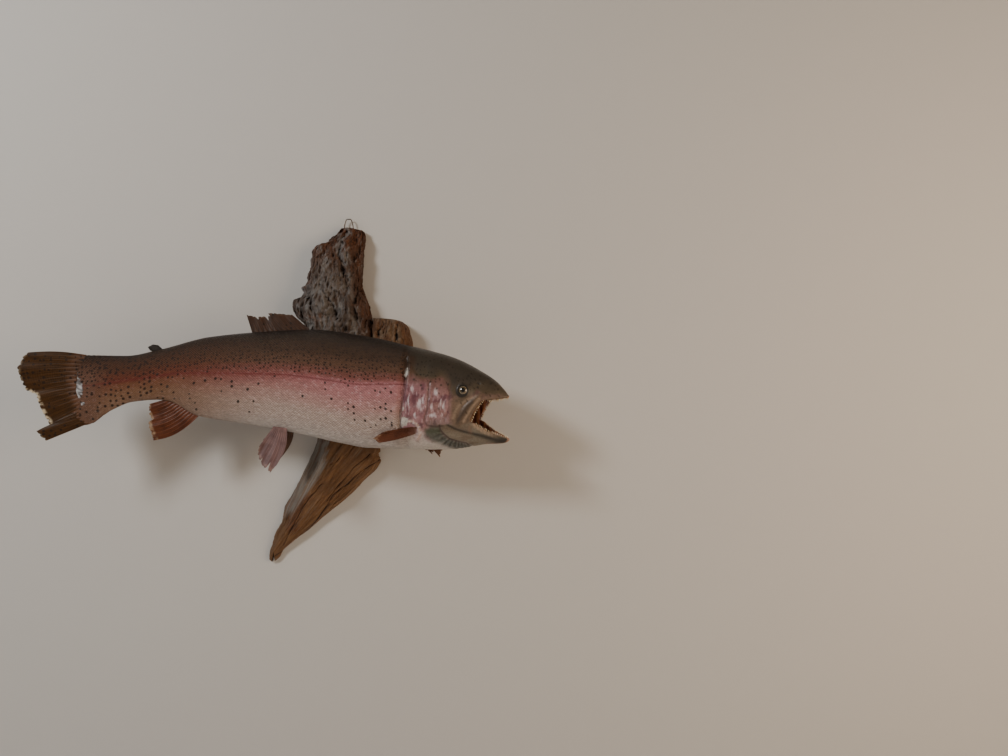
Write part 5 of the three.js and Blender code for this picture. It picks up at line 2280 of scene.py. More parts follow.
@dataclass
class Fin:
    """A fin of many rays, from its root line to its worn free edge.

    The root and the edge run from the first ray to the last, as (station, height) pairs. The
    sides are distances from the middle plane at the first and the last ray.
    """

    name: str
    root: Pairs
    edge: Pairs
    rays: int
    finish: FinFinish
    root_side: Pair = (0.0, 0.0)
    edge_side: Pair = (0.0, 0.0)
    bow: Pair = (0.0, 0.0)
    thick: float = 4.6
    thin: float = 1.0
    wave: float = 0.8
    fray: float = 3.0
    splits: Sequence[Pair] = ()
    columns_per_ray: int = 16
    rows: int = 34
    relief: float = 0.42
    least_half: float = 0.27

    def grid(self) -> tuple[Array, Array, Array, Array]:
        """The middle surface of the fin.

        Returns:
            Points of the straight fish by row and column, with the share across the rays, the
            share outwards and the height of the ray's ridge, from 0 to 1, at each of them.
        """
        columns = self.rays * self.columns_per_ray + 1
        share, out = np.meshgrid(np.linspace(0, 1, columns), np.linspace(0, 1, self.rows))
        rng = np.random.default_rng(len(self.name) + self.rays)
        phase = share * self.rays
        first_fork, second_fork = smooth_step(0.16, 0.34, out), smooth_step(0.52, 0.76, out)
        single, double, fourfold = (np.abs(np.cos(branches * math.pi * phase)) for branches in (1, 2, 4))
        ridge = single + (0.45 * single + 0.55 * double - single) * first_fork
        ridge = ridge + (0.30 * single + 0.30 * double + 0.40 * fourfold - ridge) * second_fork
        lengths = rng.uniform(-1.0, 0.0, self.rays * 2 + 1)
        ray_length = np.interp(phase[0] * 2, np.arange(self.rays * 2 + 1), lengths)
        span = np.hypot(*(along_line(self.edge, share[0]) - along_line(self.root, share[0])).T)
        notch = (1 - single[-1]) ** 2
        short = self.fray * (0.55 * notch - 0.45 * ray_length)
        for place, depth in self.splits:
            short = short + depth * bell(share[0] - place, 0.25 / self.rays)
        reach = 1 - np.clip(short / np.maximum(span, 1.0), 0, 0.6)
        far = out * (1 - (1 - reach[None, :]) * smooth_step(0.35, 1.0, out))
        root, edge = along_line(self.root, share[0]), along_line(self.edge, share[0])
        swell = (1 - share) * np.sin(math.pi * far)
        station, height = (
            root[None, :, k] * (1 - far) + edge[None, :, k] * far + self.bow[k] * swell for k in (0, 1)
        )
        root_side, edge_side = (
            ends[0] * (1 - share) + ends[1] * share for ends in (self.root_side, self.edge_side)
        )
        ripple = np.sin(phase * 0.9 + 1.3) + 0.6 * np.sin(phase * 2.3 + 3 * far)
        side = root_side * (1 - far) + edge_side * far + self.wave * ripple * far**1.3
        return lattice(station, side, height), share, far, ridge

    def build(self) -> Object:
        """Builds the fin as a closed plate whose rays stand out on both faces.

        Returns:
            The finished object.
        """
        middle, share, out, ridge = self.grid()
        rows, columns = share.shape
        normal = np.cross(np.gradient(middle, axis=1), np.gradient(middle, axis=0))
        normal /= np.maximum(np.linalg.norm(normal, axis=2), 1e-9)[..., None]
        normal = unit(normal.mean(axis=(0, 1)))
        rim = 1 - 0.45 * np.abs(2 * share - 1) ** 5
        plain = (self.thick * (1 - out) ** 1.4 + self.thin * (1 - (1 - out) ** 1.4)) / 2 * rim
        half = np.maximum(plain * (1 - self.relief + self.relief * ridge), self.least_half)
        outward = normal * half[..., None]
        points = np.vstack([(middle + outward).reshape(-1, 3), (middle - outward).reshape(-1, 3)])
        faces = self._faces(rows, columns)
        thing = make_object(self.name, POSE.bend(points), faces)
        both = lattice(share, out, ridge).reshape(-1, 3)
        store(thing, "fin", np.vstack([both, both]))
        store(thing, "place", points[:, (0, 2, 1)] * MM)
        thing.data.materials.append(self.finish.build())
        return thing

    def _faces(self, rows: int, columns: int) -> list[list[int]]:
        """The quads of both faces and of the rim between them.

        Args:
            rows: how many points a column has.
            columns: how many points a row has.

        Returns:
            The corners of each quad, as indices.
        """
        other = rows * columns
        row, column = np.meshgrid(np.arange(rows - 1), np.arange(columns - 1), indexing="ij")
        here = (row * columns + column).ravel()
        front = np.column_stack([here, here + 1, here + columns + 1, here + columns])
        faces = [*front.tolist(), *(front[:, ::-1] + other).tolist()]
        rim = [*range(columns - 1)]
        rim += [r * columns + columns - 1 for r in range(rows - 1)]
        rim += [(rows - 1) * columns + c for c in range(columns - 1, 0, -1)]
        rim += [r * columns for r in range(rows - 1, 0, -1)]
        for i, here in enumerate(rim):
            beside = rim[(i + 1) % len(rim)]
            faces.append([beside, here, here + other, beside + other])
        return faces


# ------ eyes and teeth


@dataclass
class Eyeball:
    """One glass eye, set in its socket."""

    flank: int
    name: str
    sides: int = 72
    rows: int = 48

    def build(self, finish: Material) -> Object:
        """Builds the ball and keeps how far each point is from the middle of the gaze.

        Args:
            finish: the piece's material.

        Returns:
            The finished object.
        """
        middle, outward = EYE.middle(self.flank), EYE.outward(self.flank)
        thing = ball(self.name, np.zeros(3), EYE.radius, self.sides, self.rows)
        turn = Vector((0, 0, 1)).rotation_difference(Vector(outward)).to_matrix()
        own = points_of(thing)
        x, y = own[:, 0] / EYE.radius, own[:, 1] / EYE.radius
        reach = np.hypot(own[:, 0], own[:, 1]) / EYE.radius
        store(thing, "gaze", lattice(x, y, np.where(own[:, 2] > 0, reach, 2 - reach)))
        move_points(thing, POSE.bend(own @ np.array(turn).T + middle))
        thing.data.materials.append(finish)
        return thing


@dataclass(frozen=True)
class ToothRow:
    """A row of teeth along one lip, the same on both flanks."""

    lip: Pairs
    inset: float
    points: Point
    length: Pair
    pitch: float


@dataclass
class Teeth:
    """The small curved teeth of both jaws."""

    rows: Sequence[ToothRow] = (
        ToothRow(((268, -16.2), (262, -17), (247, -20), (241, -20)), 2.4, (0.12, 0, -1), (3.4, 4.6), 2.6),
        ToothRow(((236, -20), (227, -31.5), (222, -42), (218, -50)), 2.2, (0.75, 0, -0.66), (2.4, 3.2), 2.4),
        ToothRow(((268, -76.2), (251, -70), (236, -63), (225, -56)), 2.2, (0.10, 0, 1), (3.2, 4.4), 2.7),
    )
    radius: float = 0.85
    rings: int = 6
    sides: int = 9
    hook: float = 0.5
    lean: float = 0.16
    broken: float = 0.12
    stump: float = 0.45
    wobble: float = 0.5
    least_size: float = 0.85

    def template(self) -> Object:
        """One tooth of unit height and radius, hooked towards +Y.

        Returns:
            The tooth, with its own height stored on its corners.
        """
        heights = np.linspace(-0.35, 1.0, self.rings)[:, None]
        reach = np.sqrt(np.clip(1.02 - np.clip(heights, 0, 1), 0.02, 1))
        angles = turns(self.sides)
        hooked = self.hook * np.clip(heights, 0, 1) ** 2
        rings = lattice(reach * np.cos(angles), reach * np.sin(angles) + hooked, heights)
        thing = make_object("tooth template", *closed_tube(rings))
        height = points_of(thing)[:, 2]
        store(thing, "on_tooth", np.column_stack([height, height, np.clip(height, 0, 1)]))
        return thing

    def points(self) -> PointSet:
        """The roots of all teeth, with their directions and sizes.

        Returns:
            One point for each tooth.
        """
        rng = np.random.default_rng(SEED + 1)
        places, outward, lying, size = [], [], [], []
        for row in self.rows:
            corners = np.array(row.lip)
            length = float(np.hypot(*np.diff(corners, axis=0).T).sum())
            shares = np.linspace(0.03, 0.97, round(length / row.pitch))
            for flank in (-1, 1):
                jitter = rng.uniform(-0.3, 0.3, len(shares)) / len(shares)
                spots = along_line(row.lip, shares + jitter)
                side = np.maximum(BODY.side(spots[:, 0], spots[:, 1]) - row.inset, 1.0)
                root = np.column_stack([spots[:, 0], flank * side, spots[:, 1]])
                lean = unit(rng.uniform(-self.lean, self.lean, (len(shares), 3)) + row.points)
                tall = rng.uniform(*row.length, len(shares))
                tall *= np.where(rng.random(len(shares)) < self.broken, self.stump, 1.0)
                tip, back = root + lean, root + (-1.0, -0.35 * flank, 0.0)
                placed = POSE.bend(root)
                places.append(placed)
                outward.append((POSE.bend(tip) - placed) / MM)
                lying.append((POSE.bend(back) - placed) / MM)
                wide = self.radius * rng.uniform(0.8, 1.2, len(shares))
                size.append(np.column_stack([wide, wide, tall]) * MM)
        return PointSet(*(np.vstack(rows) for rows in (places, outward, lying, size)))

    def build(self, setter: PieceSetter, finish: Material) -> Object:
        """Builds all teeth as one piece.

        Args:
            setter: what sets pieces on points.
            finish: the piece's material.

        Returns:
            The finished object.
        """
        template = self.template()
        thing = setter.set_pieces(
            "teeth", self.points(), template, finish, 0.0, self.wobble, self.least_size
        )
        bpy.data.objects.remove(template)
        return thing


# ------ driftwood


@dataclass
class WoodBlock:
    """A piece of driftwood: level rings with a flat back on the wall and a rough front.

    The left and right edges and the depth are (height, value) pairs.
    """

    name: str
    left: Pairs
    right: Pairs
    depth: Pairs
    levels: Pair
    slant: float
    level_pitch: float = 1.05
    columns: int = 132
    back_columns: int = 10
    edge: float = 6.0
    back: float = 0.3
    least_depth: float = 1.2
    inset: float = 2.0
    grain_stretch: float = 0.07
    plain: float = 0.4
    fish_gap: float = 1.6

    def profile(self, share: Array, level: Array, x: Array, depth: Array) -> Array:
        """The smooth front: how far it stands off the wall across the width."""
        return self.edge + (depth - self.edge) * (1 - np.abs(2 * share - 1) ** 2.4) ** 0.5

    def along_grain(self, points: Array) -> Array:
        """Points turned so that the third coordinate runs along the grain.

        Args:
            points: the points, in millimetres and in rows.

        Returns:
            The turned points, in rows.
        """
        x, y, z = points.T
        cos, sin = math.cos(self.slant), math.sin(self.slant)
        return np.column_stack([x * cos - z * sin, y, x * sin + z * cos])

    def carving(self, points: Array, share: Array) -> tuple[Array, Array, Array]:
        """How far the front is raised, how high or deep it lies, and how bleached it is."""
        raise NotImplementedError

    def ragged(self, level: Array) -> tuple[Array, Array]:
        """How far the left and right edges wander at each level."""
        heights = lattice(0.0, 0.0, level)
        return 1.7 * rough(heights, 14.0, 4, 3.1), 1.3 * rough(heights, 14.0, 4, 8.7)

    def clear_of_fish(self, x: Array, front: Array, level: Array) -> Array:
        """The front held back where the fish's wall side would run into it.

        Args:
            x: the points' place across the wall.
            front: how far they stand off the wall.
            level: their heights.

        Returns:
            How far they may stand off the wall.
        """
        limit = np.full(x.shape, np.inf)
        station = x.copy()
        for _ in range(3):
            side = BODY.side(station, level) + self.fish_gap
            placed = POSE.bend(np.column_stack([station, side, level])) / MM
            station = station + (x - placed[:, 0])
        top, low = BODY.ends(station)
        beside = (level < top + 1.5) & (level > low - 1.5) & (station > -352)
        limit[beside] = -placed[beside, 1]
        return np.minimum(front, np.maximum(limit, 1.5))

    def build(self, finish: Material) -> Object:
        """Builds the block as a closed mesh with its relief kept for the finish.

        Args:
            finish: the piece's material.

        Returns:
            The finished object.
        """
        count = int((self.levels[1] - self.levels[0]) / self.level_pitch)
        level = np.linspace(*self.levels, count)
        wander_left, wander_right = self.ragged(level)
        left = smooth_curve(self.left)(level) + wander_left
        right = smooth_curve(self.right)(level) + wander_right
        depth = smooth_curve(self.depth)(level)
        turn = np.linspace(0, 1, self.columns)
        share = 0.5 - 0.5 * np.cos(math.pi * (0.12 + 0.76 * turn))
        share = (share - share[0]) / (share[-1] - share[0])
        share, z = np.broadcast_arrays(share[None, :], level[:, None])
        x = left[:, None] * (1 - share) + right[:, None] * share
        front = self.profile(share, z, x, depth[:, None])
        flat = [np.ascontiguousarray(value).ravel() for value in (x, -front, z, share)]
        points, share_flat = np.column_stack(flat[:3]), flat[3]
        raised, wear, bleached = self.carving(points, share_flat)
        height = self.clear_of_fish(flat[0], np.maximum(front.ravel() + raised, self.least_depth), flat[2])
        aside = np.clip(np.abs(2 * share_flat - 1) - 0.86, 0, 0.14) / 0.14
        x_flat = flat[0] + np.sign(2 * share_flat - 1) * aside * np.clip(raised, -4, 1.2) * 0.45
        front_points = np.column_stack([x_flat, -height, flat[2]]).reshape(count, self.columns, 3)
        inset = np.minimum(self.inset, (right - left) / 6)
        behind = np.linspace(0, 1, self.back_columns)[None, :]
        back_x = (right - inset)[:, None] * (1 - behind) + (left + inset)[:, None] * behind
        back_points = lattice(back_x, -self.back, level[:, None])
        rings = np.concatenate([front_points, back_points], axis=1)
        thing = make_object(self.name, *closed_tube(rings * MM))
        worn = lattice(wear, bleached, share_flat).reshape(count, self.columns, 3)
        worn = np.concatenate([worn, np.full((*back_x.shape, 3), self.plain)], axis=1).reshape(-1, 3)
        store(thing, "wood", np.vstack([worn, np.full((2, 3), self.plain)]))
        grain = self.along_grain(points_of(thing) / MM)
        store(thing, "grain", grain * (MM, MM, self.grain_stretch * MM))
        give_finish(thing, finish)
        return thing


@dataclass
class BarkBlock(WoodBlock):
    """Weathered bark, cracked into long plates."""

    crevices: Sequence[Pairs] = ()
    crevice_depth: float = 5.2
    crevice_width: float = 3.4
    swell: float = 1.0
    bleached: Point = (-24.0, 132.0, 30.0)

    def carving(self, points: Array, share: Array) -> tuple[Array, Array, Array]:
        """Long gnarled ridges with deep crevices between them, under a fibrous surface.

        Args:
            points: the smooth front, in millimetres and in rows.
            share: how far across the width each point lies, from 0 to 1.

        Returns:
            How far the front is raised, how high or deep it lies from 1 to 0, and how bleached
            it is, at each point.
        """
        turned = self.along_grain(points)
        sway = lattice(rough(points, 26.0, 3, 1.0), rough(points, 26.0, 3, 5.0), 0.0)
        ridges = 1 - 2.4 * np.abs(rough(turned + 7 * sway, (17.0, 22.0, 58.0), 4, 2.0))
        folds = 1 - 2.4 * np.abs(rough(turned + 4 * sway, (7.0, 10.0, 24.0), 4, 7.0))
        lumps = rough(points, 12.0, 4, 4.0)
        fine = rough(turned, (1.9, 2.1, 5.0), 3, 6.0)
        chips = rough(turned, (4.5, 5.0, 8.0), 3, 13.0)
        large = rough(points, 32.0, 3, 9.0)
        plates = 2.4 * rough(turned + 6 * sway, (20.0, 26.0, 46.0), 3, 15.0)
        rest = plates - np.floor(plates)
        steps, brink = np.floor(plates) + smooth_step(0.25, 0.60, rest), bell(rest - 0.27, 0.09)
        gap = smooth_step(0.035, 0.0, np.abs(rough(turned + 9 * sway, (19.0, 30.0, 75.0), 3, 3.0)))
        x = points[:, 0] + 6.0 * rough(points, 15.0, 4, 4.0)
        z = points[:, 2] + 5.0 * rough(points, 15.0, 3, 8.0)
        deep = np.zeros(len(points))
        for line in self.crevices:
            deep = np.maximum(deep, bell(line_distance(x, z, line), self.crevice_width))
        forms = 4.2 * large + 2.8 * ridges + 2.0 * folds + 1.9 * lumps + 1.7 * chips
        raised = self.swell * forms + 0.8 * fine
        raised = raised + self.swell * 2.2 * steps - 1.6 * gap - self.crevice_depth * deep - 2.6
        wear = 0.46 + 0.10 * ridges + 0.15 * folds + 0.16 * lumps + 0.24 * chips + 0.18 * fine
        wear = wear - 0.30 * gap - 0.42 * deep - 0.16 * brink
        middle_x, middle_z, reach = self.bleached
        pale = bell(np.hypot((x - middle_x) * 0.9, (z - middle_z) * 0.6) / reach, 1.0)
        grey = smooth_step(-0.02, 0.32, rough(turned, (15.0, 20.0, 34.0), 3, 11.0))
        grey = grey * smooth_step(0.95, 0.75, share)
        bleached = np.maximum(pale * 0.9, grey * 0.85) * np.clip(0.5 + 0.7 * folds, 0, 1)
        return raised, np.clip(wear, 0, 1), bleached


@dataclass
class KnotBlock(BarkBlock):
    """The stub of a branch that bulges to the right of the bark."""

    def shoulder(self, level: Array) -> Array:
        """How full the knot is at each level: 1 in the middle, 0 at its ends."""
        middle, half = (self.levels[0] + self.levels[1]) / 2, (self.levels[1] - self.levels[0]) / 2 + 0.5
        return np.maximum(1 - np.abs((level - middle) / half) ** 5, 0) ** 0.2

    def profile(self, share: Array, level: Array, x: Array, depth: Array) -> Array:
        """A rounder front than the bark's."""
        crown = (1 - np.abs(2 * share - 1) ** 3) ** 0.4
        return self.edge + (depth - self.edge) * crown * self.shoulder(level)


@dataclass
class ProngBlock(WoodBlock):
    """Split wood below the fish, which runs down to a two-tined tip."""

    edge: float = 3.0
    ridge: float = 0.30
    grain_source: Pair = (-134.7, -299.7)
    spread_at: float = 150.0
    notch: Pairs = ((-117.6, -290), (-110.6, -290), (-112.2, -267))
    whorl: Pair = (1.0, -116.0)
    cracks: Sequence[tuple[float, Pairs]] = (
        (1.15, ((62, -118), (30, -137), (10, -154), (-15, -175), (-43, -216), (-60, -234), (-84, -256),
        (-110, -274))),
        (0.85, ((46, -108), (19, -131), (4, -148), (-13, -168), (-25, -183))),
        (0.95, ((-30, -155), (-45, -171), (-64, -198), (-83, -232), (-96, -256))),
        (0.75, ((3, -108), (-3, -119), (-19, -126), (-30, -146), (-46, -166))),
        (0.60, ((22, -96), (-2, -128), (-22, -160), (-36, -184), (-58, -212))),
        (0.55, ((58, -96), (44, -128), (22, -150), (-2, -176), (-30, -208))),
    )

    def profile(self, share: Array, level: Array, x: Array, depth: Array) -> Array:
        """A steep grey facet on the left up to a ridge, then a slow fall to the right.

        Args:
            share: how far across the width each point lies, from 0 to 1.
            level: the heights of the rings, in millimetres; not used.
            x: the points' place across the wall; not used.
            depth: the depth of each ring.

        Returns:
            How far each point stands off the wall.
        """
        beyond = (share - self.ridge) / (1 - self.ridge)
        rise = np.where(beyond < 0, share / self.ridge, 1 - 0.4 * beyond**2)
        edge = smooth_step(1.0, 0.93, share)
        return self.edge + (depth - self.edge) * rise * (0.25 + 0.75 * edge)

    def along_grain(self, points: Array) -> Array:
        """Points by their turn and distance from where the fibres run together below the tip."""
        x, z = points[:, 0] - self.grain_source[0], points[:, 2] - self.grain_source[1]
        return np.column_stack([np.arctan2(x, z) * self.spread_at, points[:, 1], np.hypot(x, z)])

    def ragged(self, level: Array) -> tuple[Array, Array]:
        """The right edge is splintered where the wood was torn off.

        Args:
            level: the heights of the rings, in millimetres.

        Returns:
            How far the left and the right edge wander.
        """
        left, right = super().ragged(level)
        torn = bell(level + 104, 24)
        wave = np.clip(2.6 * rough(lattice(0.0, 0.0, level), 9.0, 3, 21.0), -1, 1)
        steps = 1.9 * np.sign(wave) * np.abs(wave) ** 0.6
        return left * 0.7, right * 0.7 + torn * steps - 1.2 * torn

    def carving(self, points: Array, share: Array) -> tuple[Array, Array, Array]:
        """Long grooves and torn steps along the grain.

        Args:
            points: the smooth front, in millimetres and in rows.
            share: how far across the width each point lies, from 0 to 1.

        Returns:
            How far the front is raised, how high or deep it lies from 1 to 0, and how bleached
            it is, at each point.
        """
        turned = self.along_grain(points)
        bow = 2.0 * lattice(rough(points, 70.0, 2, 1.0), 0.0, 0.0)
        whorl = np.hypot(points[:, 0] - self.whorl[0], points[:, 2] - self.whorl[1])
        drawn = turned + bow
        ringed = drawn.copy()
        ringed[:, 0] += (whorl - turned[:, 0] + turned[np.argmin(whorl), 0]) * bell(whorl, 6.0)
        lines = rough(ringed, (3.4, 9.0, 170.0), 4, 2.0)
        x = points[:, 0] + 1.5 * rough(points, 20.0, 3, 12.0)
        z = points[:, 2] + 1.5 * rough(points, 20.0, 3, 14.0)
        groove = np.zeros(len(points))
        for width, line in self.cracks:
            groove = np.maximum(groove, bell(line_distance(x, z, line), width) * min(1.0, width))
        split = smooth_step(0.06, 0.0, np.abs(rough(drawn, (8.0, 20.0, 210.0), 2, 3.0)))
        facets = rough(drawn, (15.0, 30.0, 330.0), 2, 8.0) * 2.6
        steps = np.floor(facets) + smooth_step(0.30, 0.70, facets - np.floor(facets))
        fine = rough(turned, (1.1, 2.0, 22.0), 3, 6.0)
        small = np.clip((points[:, 2] - self.levels[0]) / 70.0, 0.22, 1.0)
        raised = (1.0 * lines + 1.5 * steps - 2.6 * groove - 1.0 * split) * small + 0.30 * fine
        facet = smooth_step(self.ridge + 0.05, self.ridge - 0.05, share + 0.08 * lines)
        facet = facet * smooth_step(-218, -196, points[:, 2] + 8 * lines)
        threads = smooth_step(-0.35, 0.25, rough(turned, (2.2, 6.0, 90.0), 3, 16.0))
        wear = 0.56 + 0.16 * lines + 0.14 * fine - 0.58 * groove - 0.22 * split
        return raised - 0.6 * small, np.clip(wear, 0, 1), facet * (0.35 + 0.6 * threads)

    def build(self, finish: Material) -> Object:
        """Builds the block and cuts the notch between its two tines.

        Args:
            finish: the piece's material.

        Returns:
            The finished object.
        """
        thing = super().build(finish)
        wedge = across_body(self.notch, -40.0, 4.0)
        move_points(wedge, points_of(wedge) * MM)
        return cut(thing, wedge, Cut.TAKE_AWAY)


# ------ the wire loop


@dataclass
class HangerLoop:
    """The wire that hangs over the nail, with both feet let into the top of the wood."""

    left: float = 0.6
    right: float = 14.2
    foot: float = 238.0
    shoulder: float = 255.0
    crown: float = 267.0
    from_wall: float = 6.0
    radius: float = 0.8
    steps: int = 90
    sides: int = 18

    def tree(self) -> Tree:
        """A Geometry Nodes tree that runs round wire along a path.

        Returns:
            The tree.
        """
        inputs = {"Path": "Geometry", "Radius": "Float", "Finish": "Material"}
        weave, given, taken = new_tree("wire along a path", "Geometry", inputs, {"Wire": "Geometry"})
        path = weave.flow("GeometryNodeMeshToCurve", given["Path"])
        path = weave.flow("GeometryNodeCurveSplineType", path, spline_type="CATMULL_ROM")
        path = weave.flow("GeometryNodeResampleCurve", Curve=path, Count=self.steps)
        ring = weave.flow("GeometryNodeCurvePrimitiveCircle", Radius=given["Radius"], Resolution=self.sides)
        wire = weave.flow("GeometryNodeCurveToMesh", Curve=path, Profile_Curve=ring, Fill_Caps=True)
        wire = weave.flow("GeometryNodeRealizeInstances", weave.flow("GeometryNodeSetShadeSmooth", wire))
        weave.feed(taken["Wire"], weave.flow("GeometryNodeSetMaterial", wire, Material=given["Finish"]))
        return weave.tree

    def build(self, finish: Material) -> Object:
        """Builds the loop as a plain tube.

        Args:
            finish: the piece's material.

        Returns:
            The finished object.
        """
        middle = (self.left + self.right) / 2
        bend = self.crown - 2.2
        route = [
            (self.left + 1, self.foot), (self.left, self.foot + 8), (self.left, self.shoulder),
            (middle - 4, bend), (middle, self.crown - self.radius), (middle + 4, bend),
            (self.right, self.shoulder), (self.right, self.foot + 8), (self.right - 1, self.foot),
        ]
        places = [(x * MM, -self.from_wall * MM, z * MM) for x, z in route]
        thing = add_object("wire_loop", places, [(i, i + 1) for i in range(len(places) - 1)], [])
        return grown(thing, self.tree(), Radius=self.radius * MM, Finish=finish)


# ------ the studio


@dataclass(frozen=True)
class Lamp:
    """A soft square light that points at a place."""

    name: str
    place: Point
    aim: Point
    size: float
    power: float
    colour: Colour = (1.0, 0.98, 0.95)

    def build(self) -> None:
        """Puts the light in the scene."""
        lamp = bpy.data.lights.new(self.name, "AREA")
        lamp.shape, lamp.size, lamp.energy, lamp.color = "SQUARE", self.size, self.power, self.colour
        thing = linked(self.name, lamp)
        thing.location = self.place
        way = Vector(self.aim) - Vector(self.place)
        thing.rotation_euler = way.to_track_quat("-Z", "Y").to_euler()


@dataclass
class Studio:
    """A pale wall and floor, the lights and the camera."""

    lamps: Sequence[Lamp] = (
        Lamp("key", (-1.25, -1.45, 0.95), (-0.05, -0.05, -0.02), 0.42, 25.0),
        Lamp("fill", (1.45, -1.0, 0.10), (0.15, -0.05, 0.0), 0.9, 13.5, (1.0, 0.75, 0.52)),
        Lamp("rear", (-0.9, 1.5, 0.8), (0.0, 0.0, 0.0), 1.0, 16.0),
    )
    sky: tuple[float, float, float, float] = (0.95, 0.97, 1.0, 1.0)
    sky_strength: float = 0.06
    camera_place: Point = (0.2567, -1.222, 0.0113)
    lens: float = 27.04
    sensor: float = 36.0
    nearest: float = 0.01
    wall_gap: float = 0.001
    wall_colour: Colour = (0.58, 0.57, 0.55)
    far: float = 3.0
    floor_height: float = -0.72
    floor_colour: Colour = (0.74, 0.72, 0.70)
    contact: float = 0.12

    def backdrop(self, name: str, corners: Sequence[Point], colour: Colour) -> None:
        """A sheet seen from its front only, which lets light through to what hangs right before it.

        Args:
            name: the new object's name.
            corners: its four corners, in metres.
            colour: its colour.
        """
        thing = add_object(name, corners, [], [(0, 1, 2, 3)])
        material, weave, shader = new_material(f"{name} paint", Roughness=0.9, Base_Color=colour)
        facing, ray = weave.node("ShaderNodeNewGeometry"), weave.node("ShaderNodeLightPath")
        close = weave.math("LESS_THAN", ray.outputs["Ray Length"], self.contact)
        _, _, height = weave.split(weave.place())
        high = weave.math("GREATER_THAN", height, self.floor_height + 2 * self.contact)
        close = close * ray.outputs["Is Shadow Ray"] * high
        hidden = weave.math("MAXIMUM", facing.outputs["Backfacing"], close)
        clear = weave.flow("ShaderNodeBsdfTransparent")
        choice = weave.flow("ShaderNodeMixShader", hidden, shader.outputs[0], clear)
        weave.fill(material.node_tree.nodes["Material Output"], Surface=choice)
        thing.data.materials.append(material)

    def upright(self, start: Pair, end: Pair) -> list[tuple[float, ...]]:
        """The corners of a wall that stands between two places on the floor."""
        low, high = self.floor_height, self.far
        return [(*start, low), (*end, low), (*end, high), (*start, high)]

    def build(self) -> None:
        """Sets the wall, floor, lights, world and camera."""
        gap, far, low = self.wall_gap, self.far, self.floor_height
        front_left, front_right, rear_right, rear_left = (-far, -far), (far, -far), (far, far), (-far, far)
        corners = [(*corner, low) for corner in (front_left, front_right, rear_right, rear_left)]
        self.backdrop("wall", self.upright((-far, gap), (far, gap)), self.wall_colour)
        self.backdrop("floor", corners, self.floor_colour)
        for name, start, end in (
            ("far_wall", front_right, front_left), ("right_wall", rear_right, front_right),
            ("left_wall", front_left, rear_left),
        ):
            self.backdrop(name, self.upright(start, end), self.floor_colour)
        for lamp in self.lamps:
            lamp.build()
        world = bpy.data.worlds.new("studio")
        world.use_nodes = True
        background = world.node_tree.nodes["Background"]
        background.inputs["Color"].default_value = self.sky
        background.inputs["Strength"].default_value = self.sky_strength
        bpy.context.scene.world = world
        camera = bpy.data.cameras.new("camera")
        camera.lens, camera.sensor_width, camera.clip_start = self.lens, self.sensor, self.nearest
        thing = linked("camera", camera)
        thing.location = self.camera_place
        thing.rotation_euler = (math.pi / 2, 0, 0)
        bpy.context.scene.camera = thing


# ------ the part


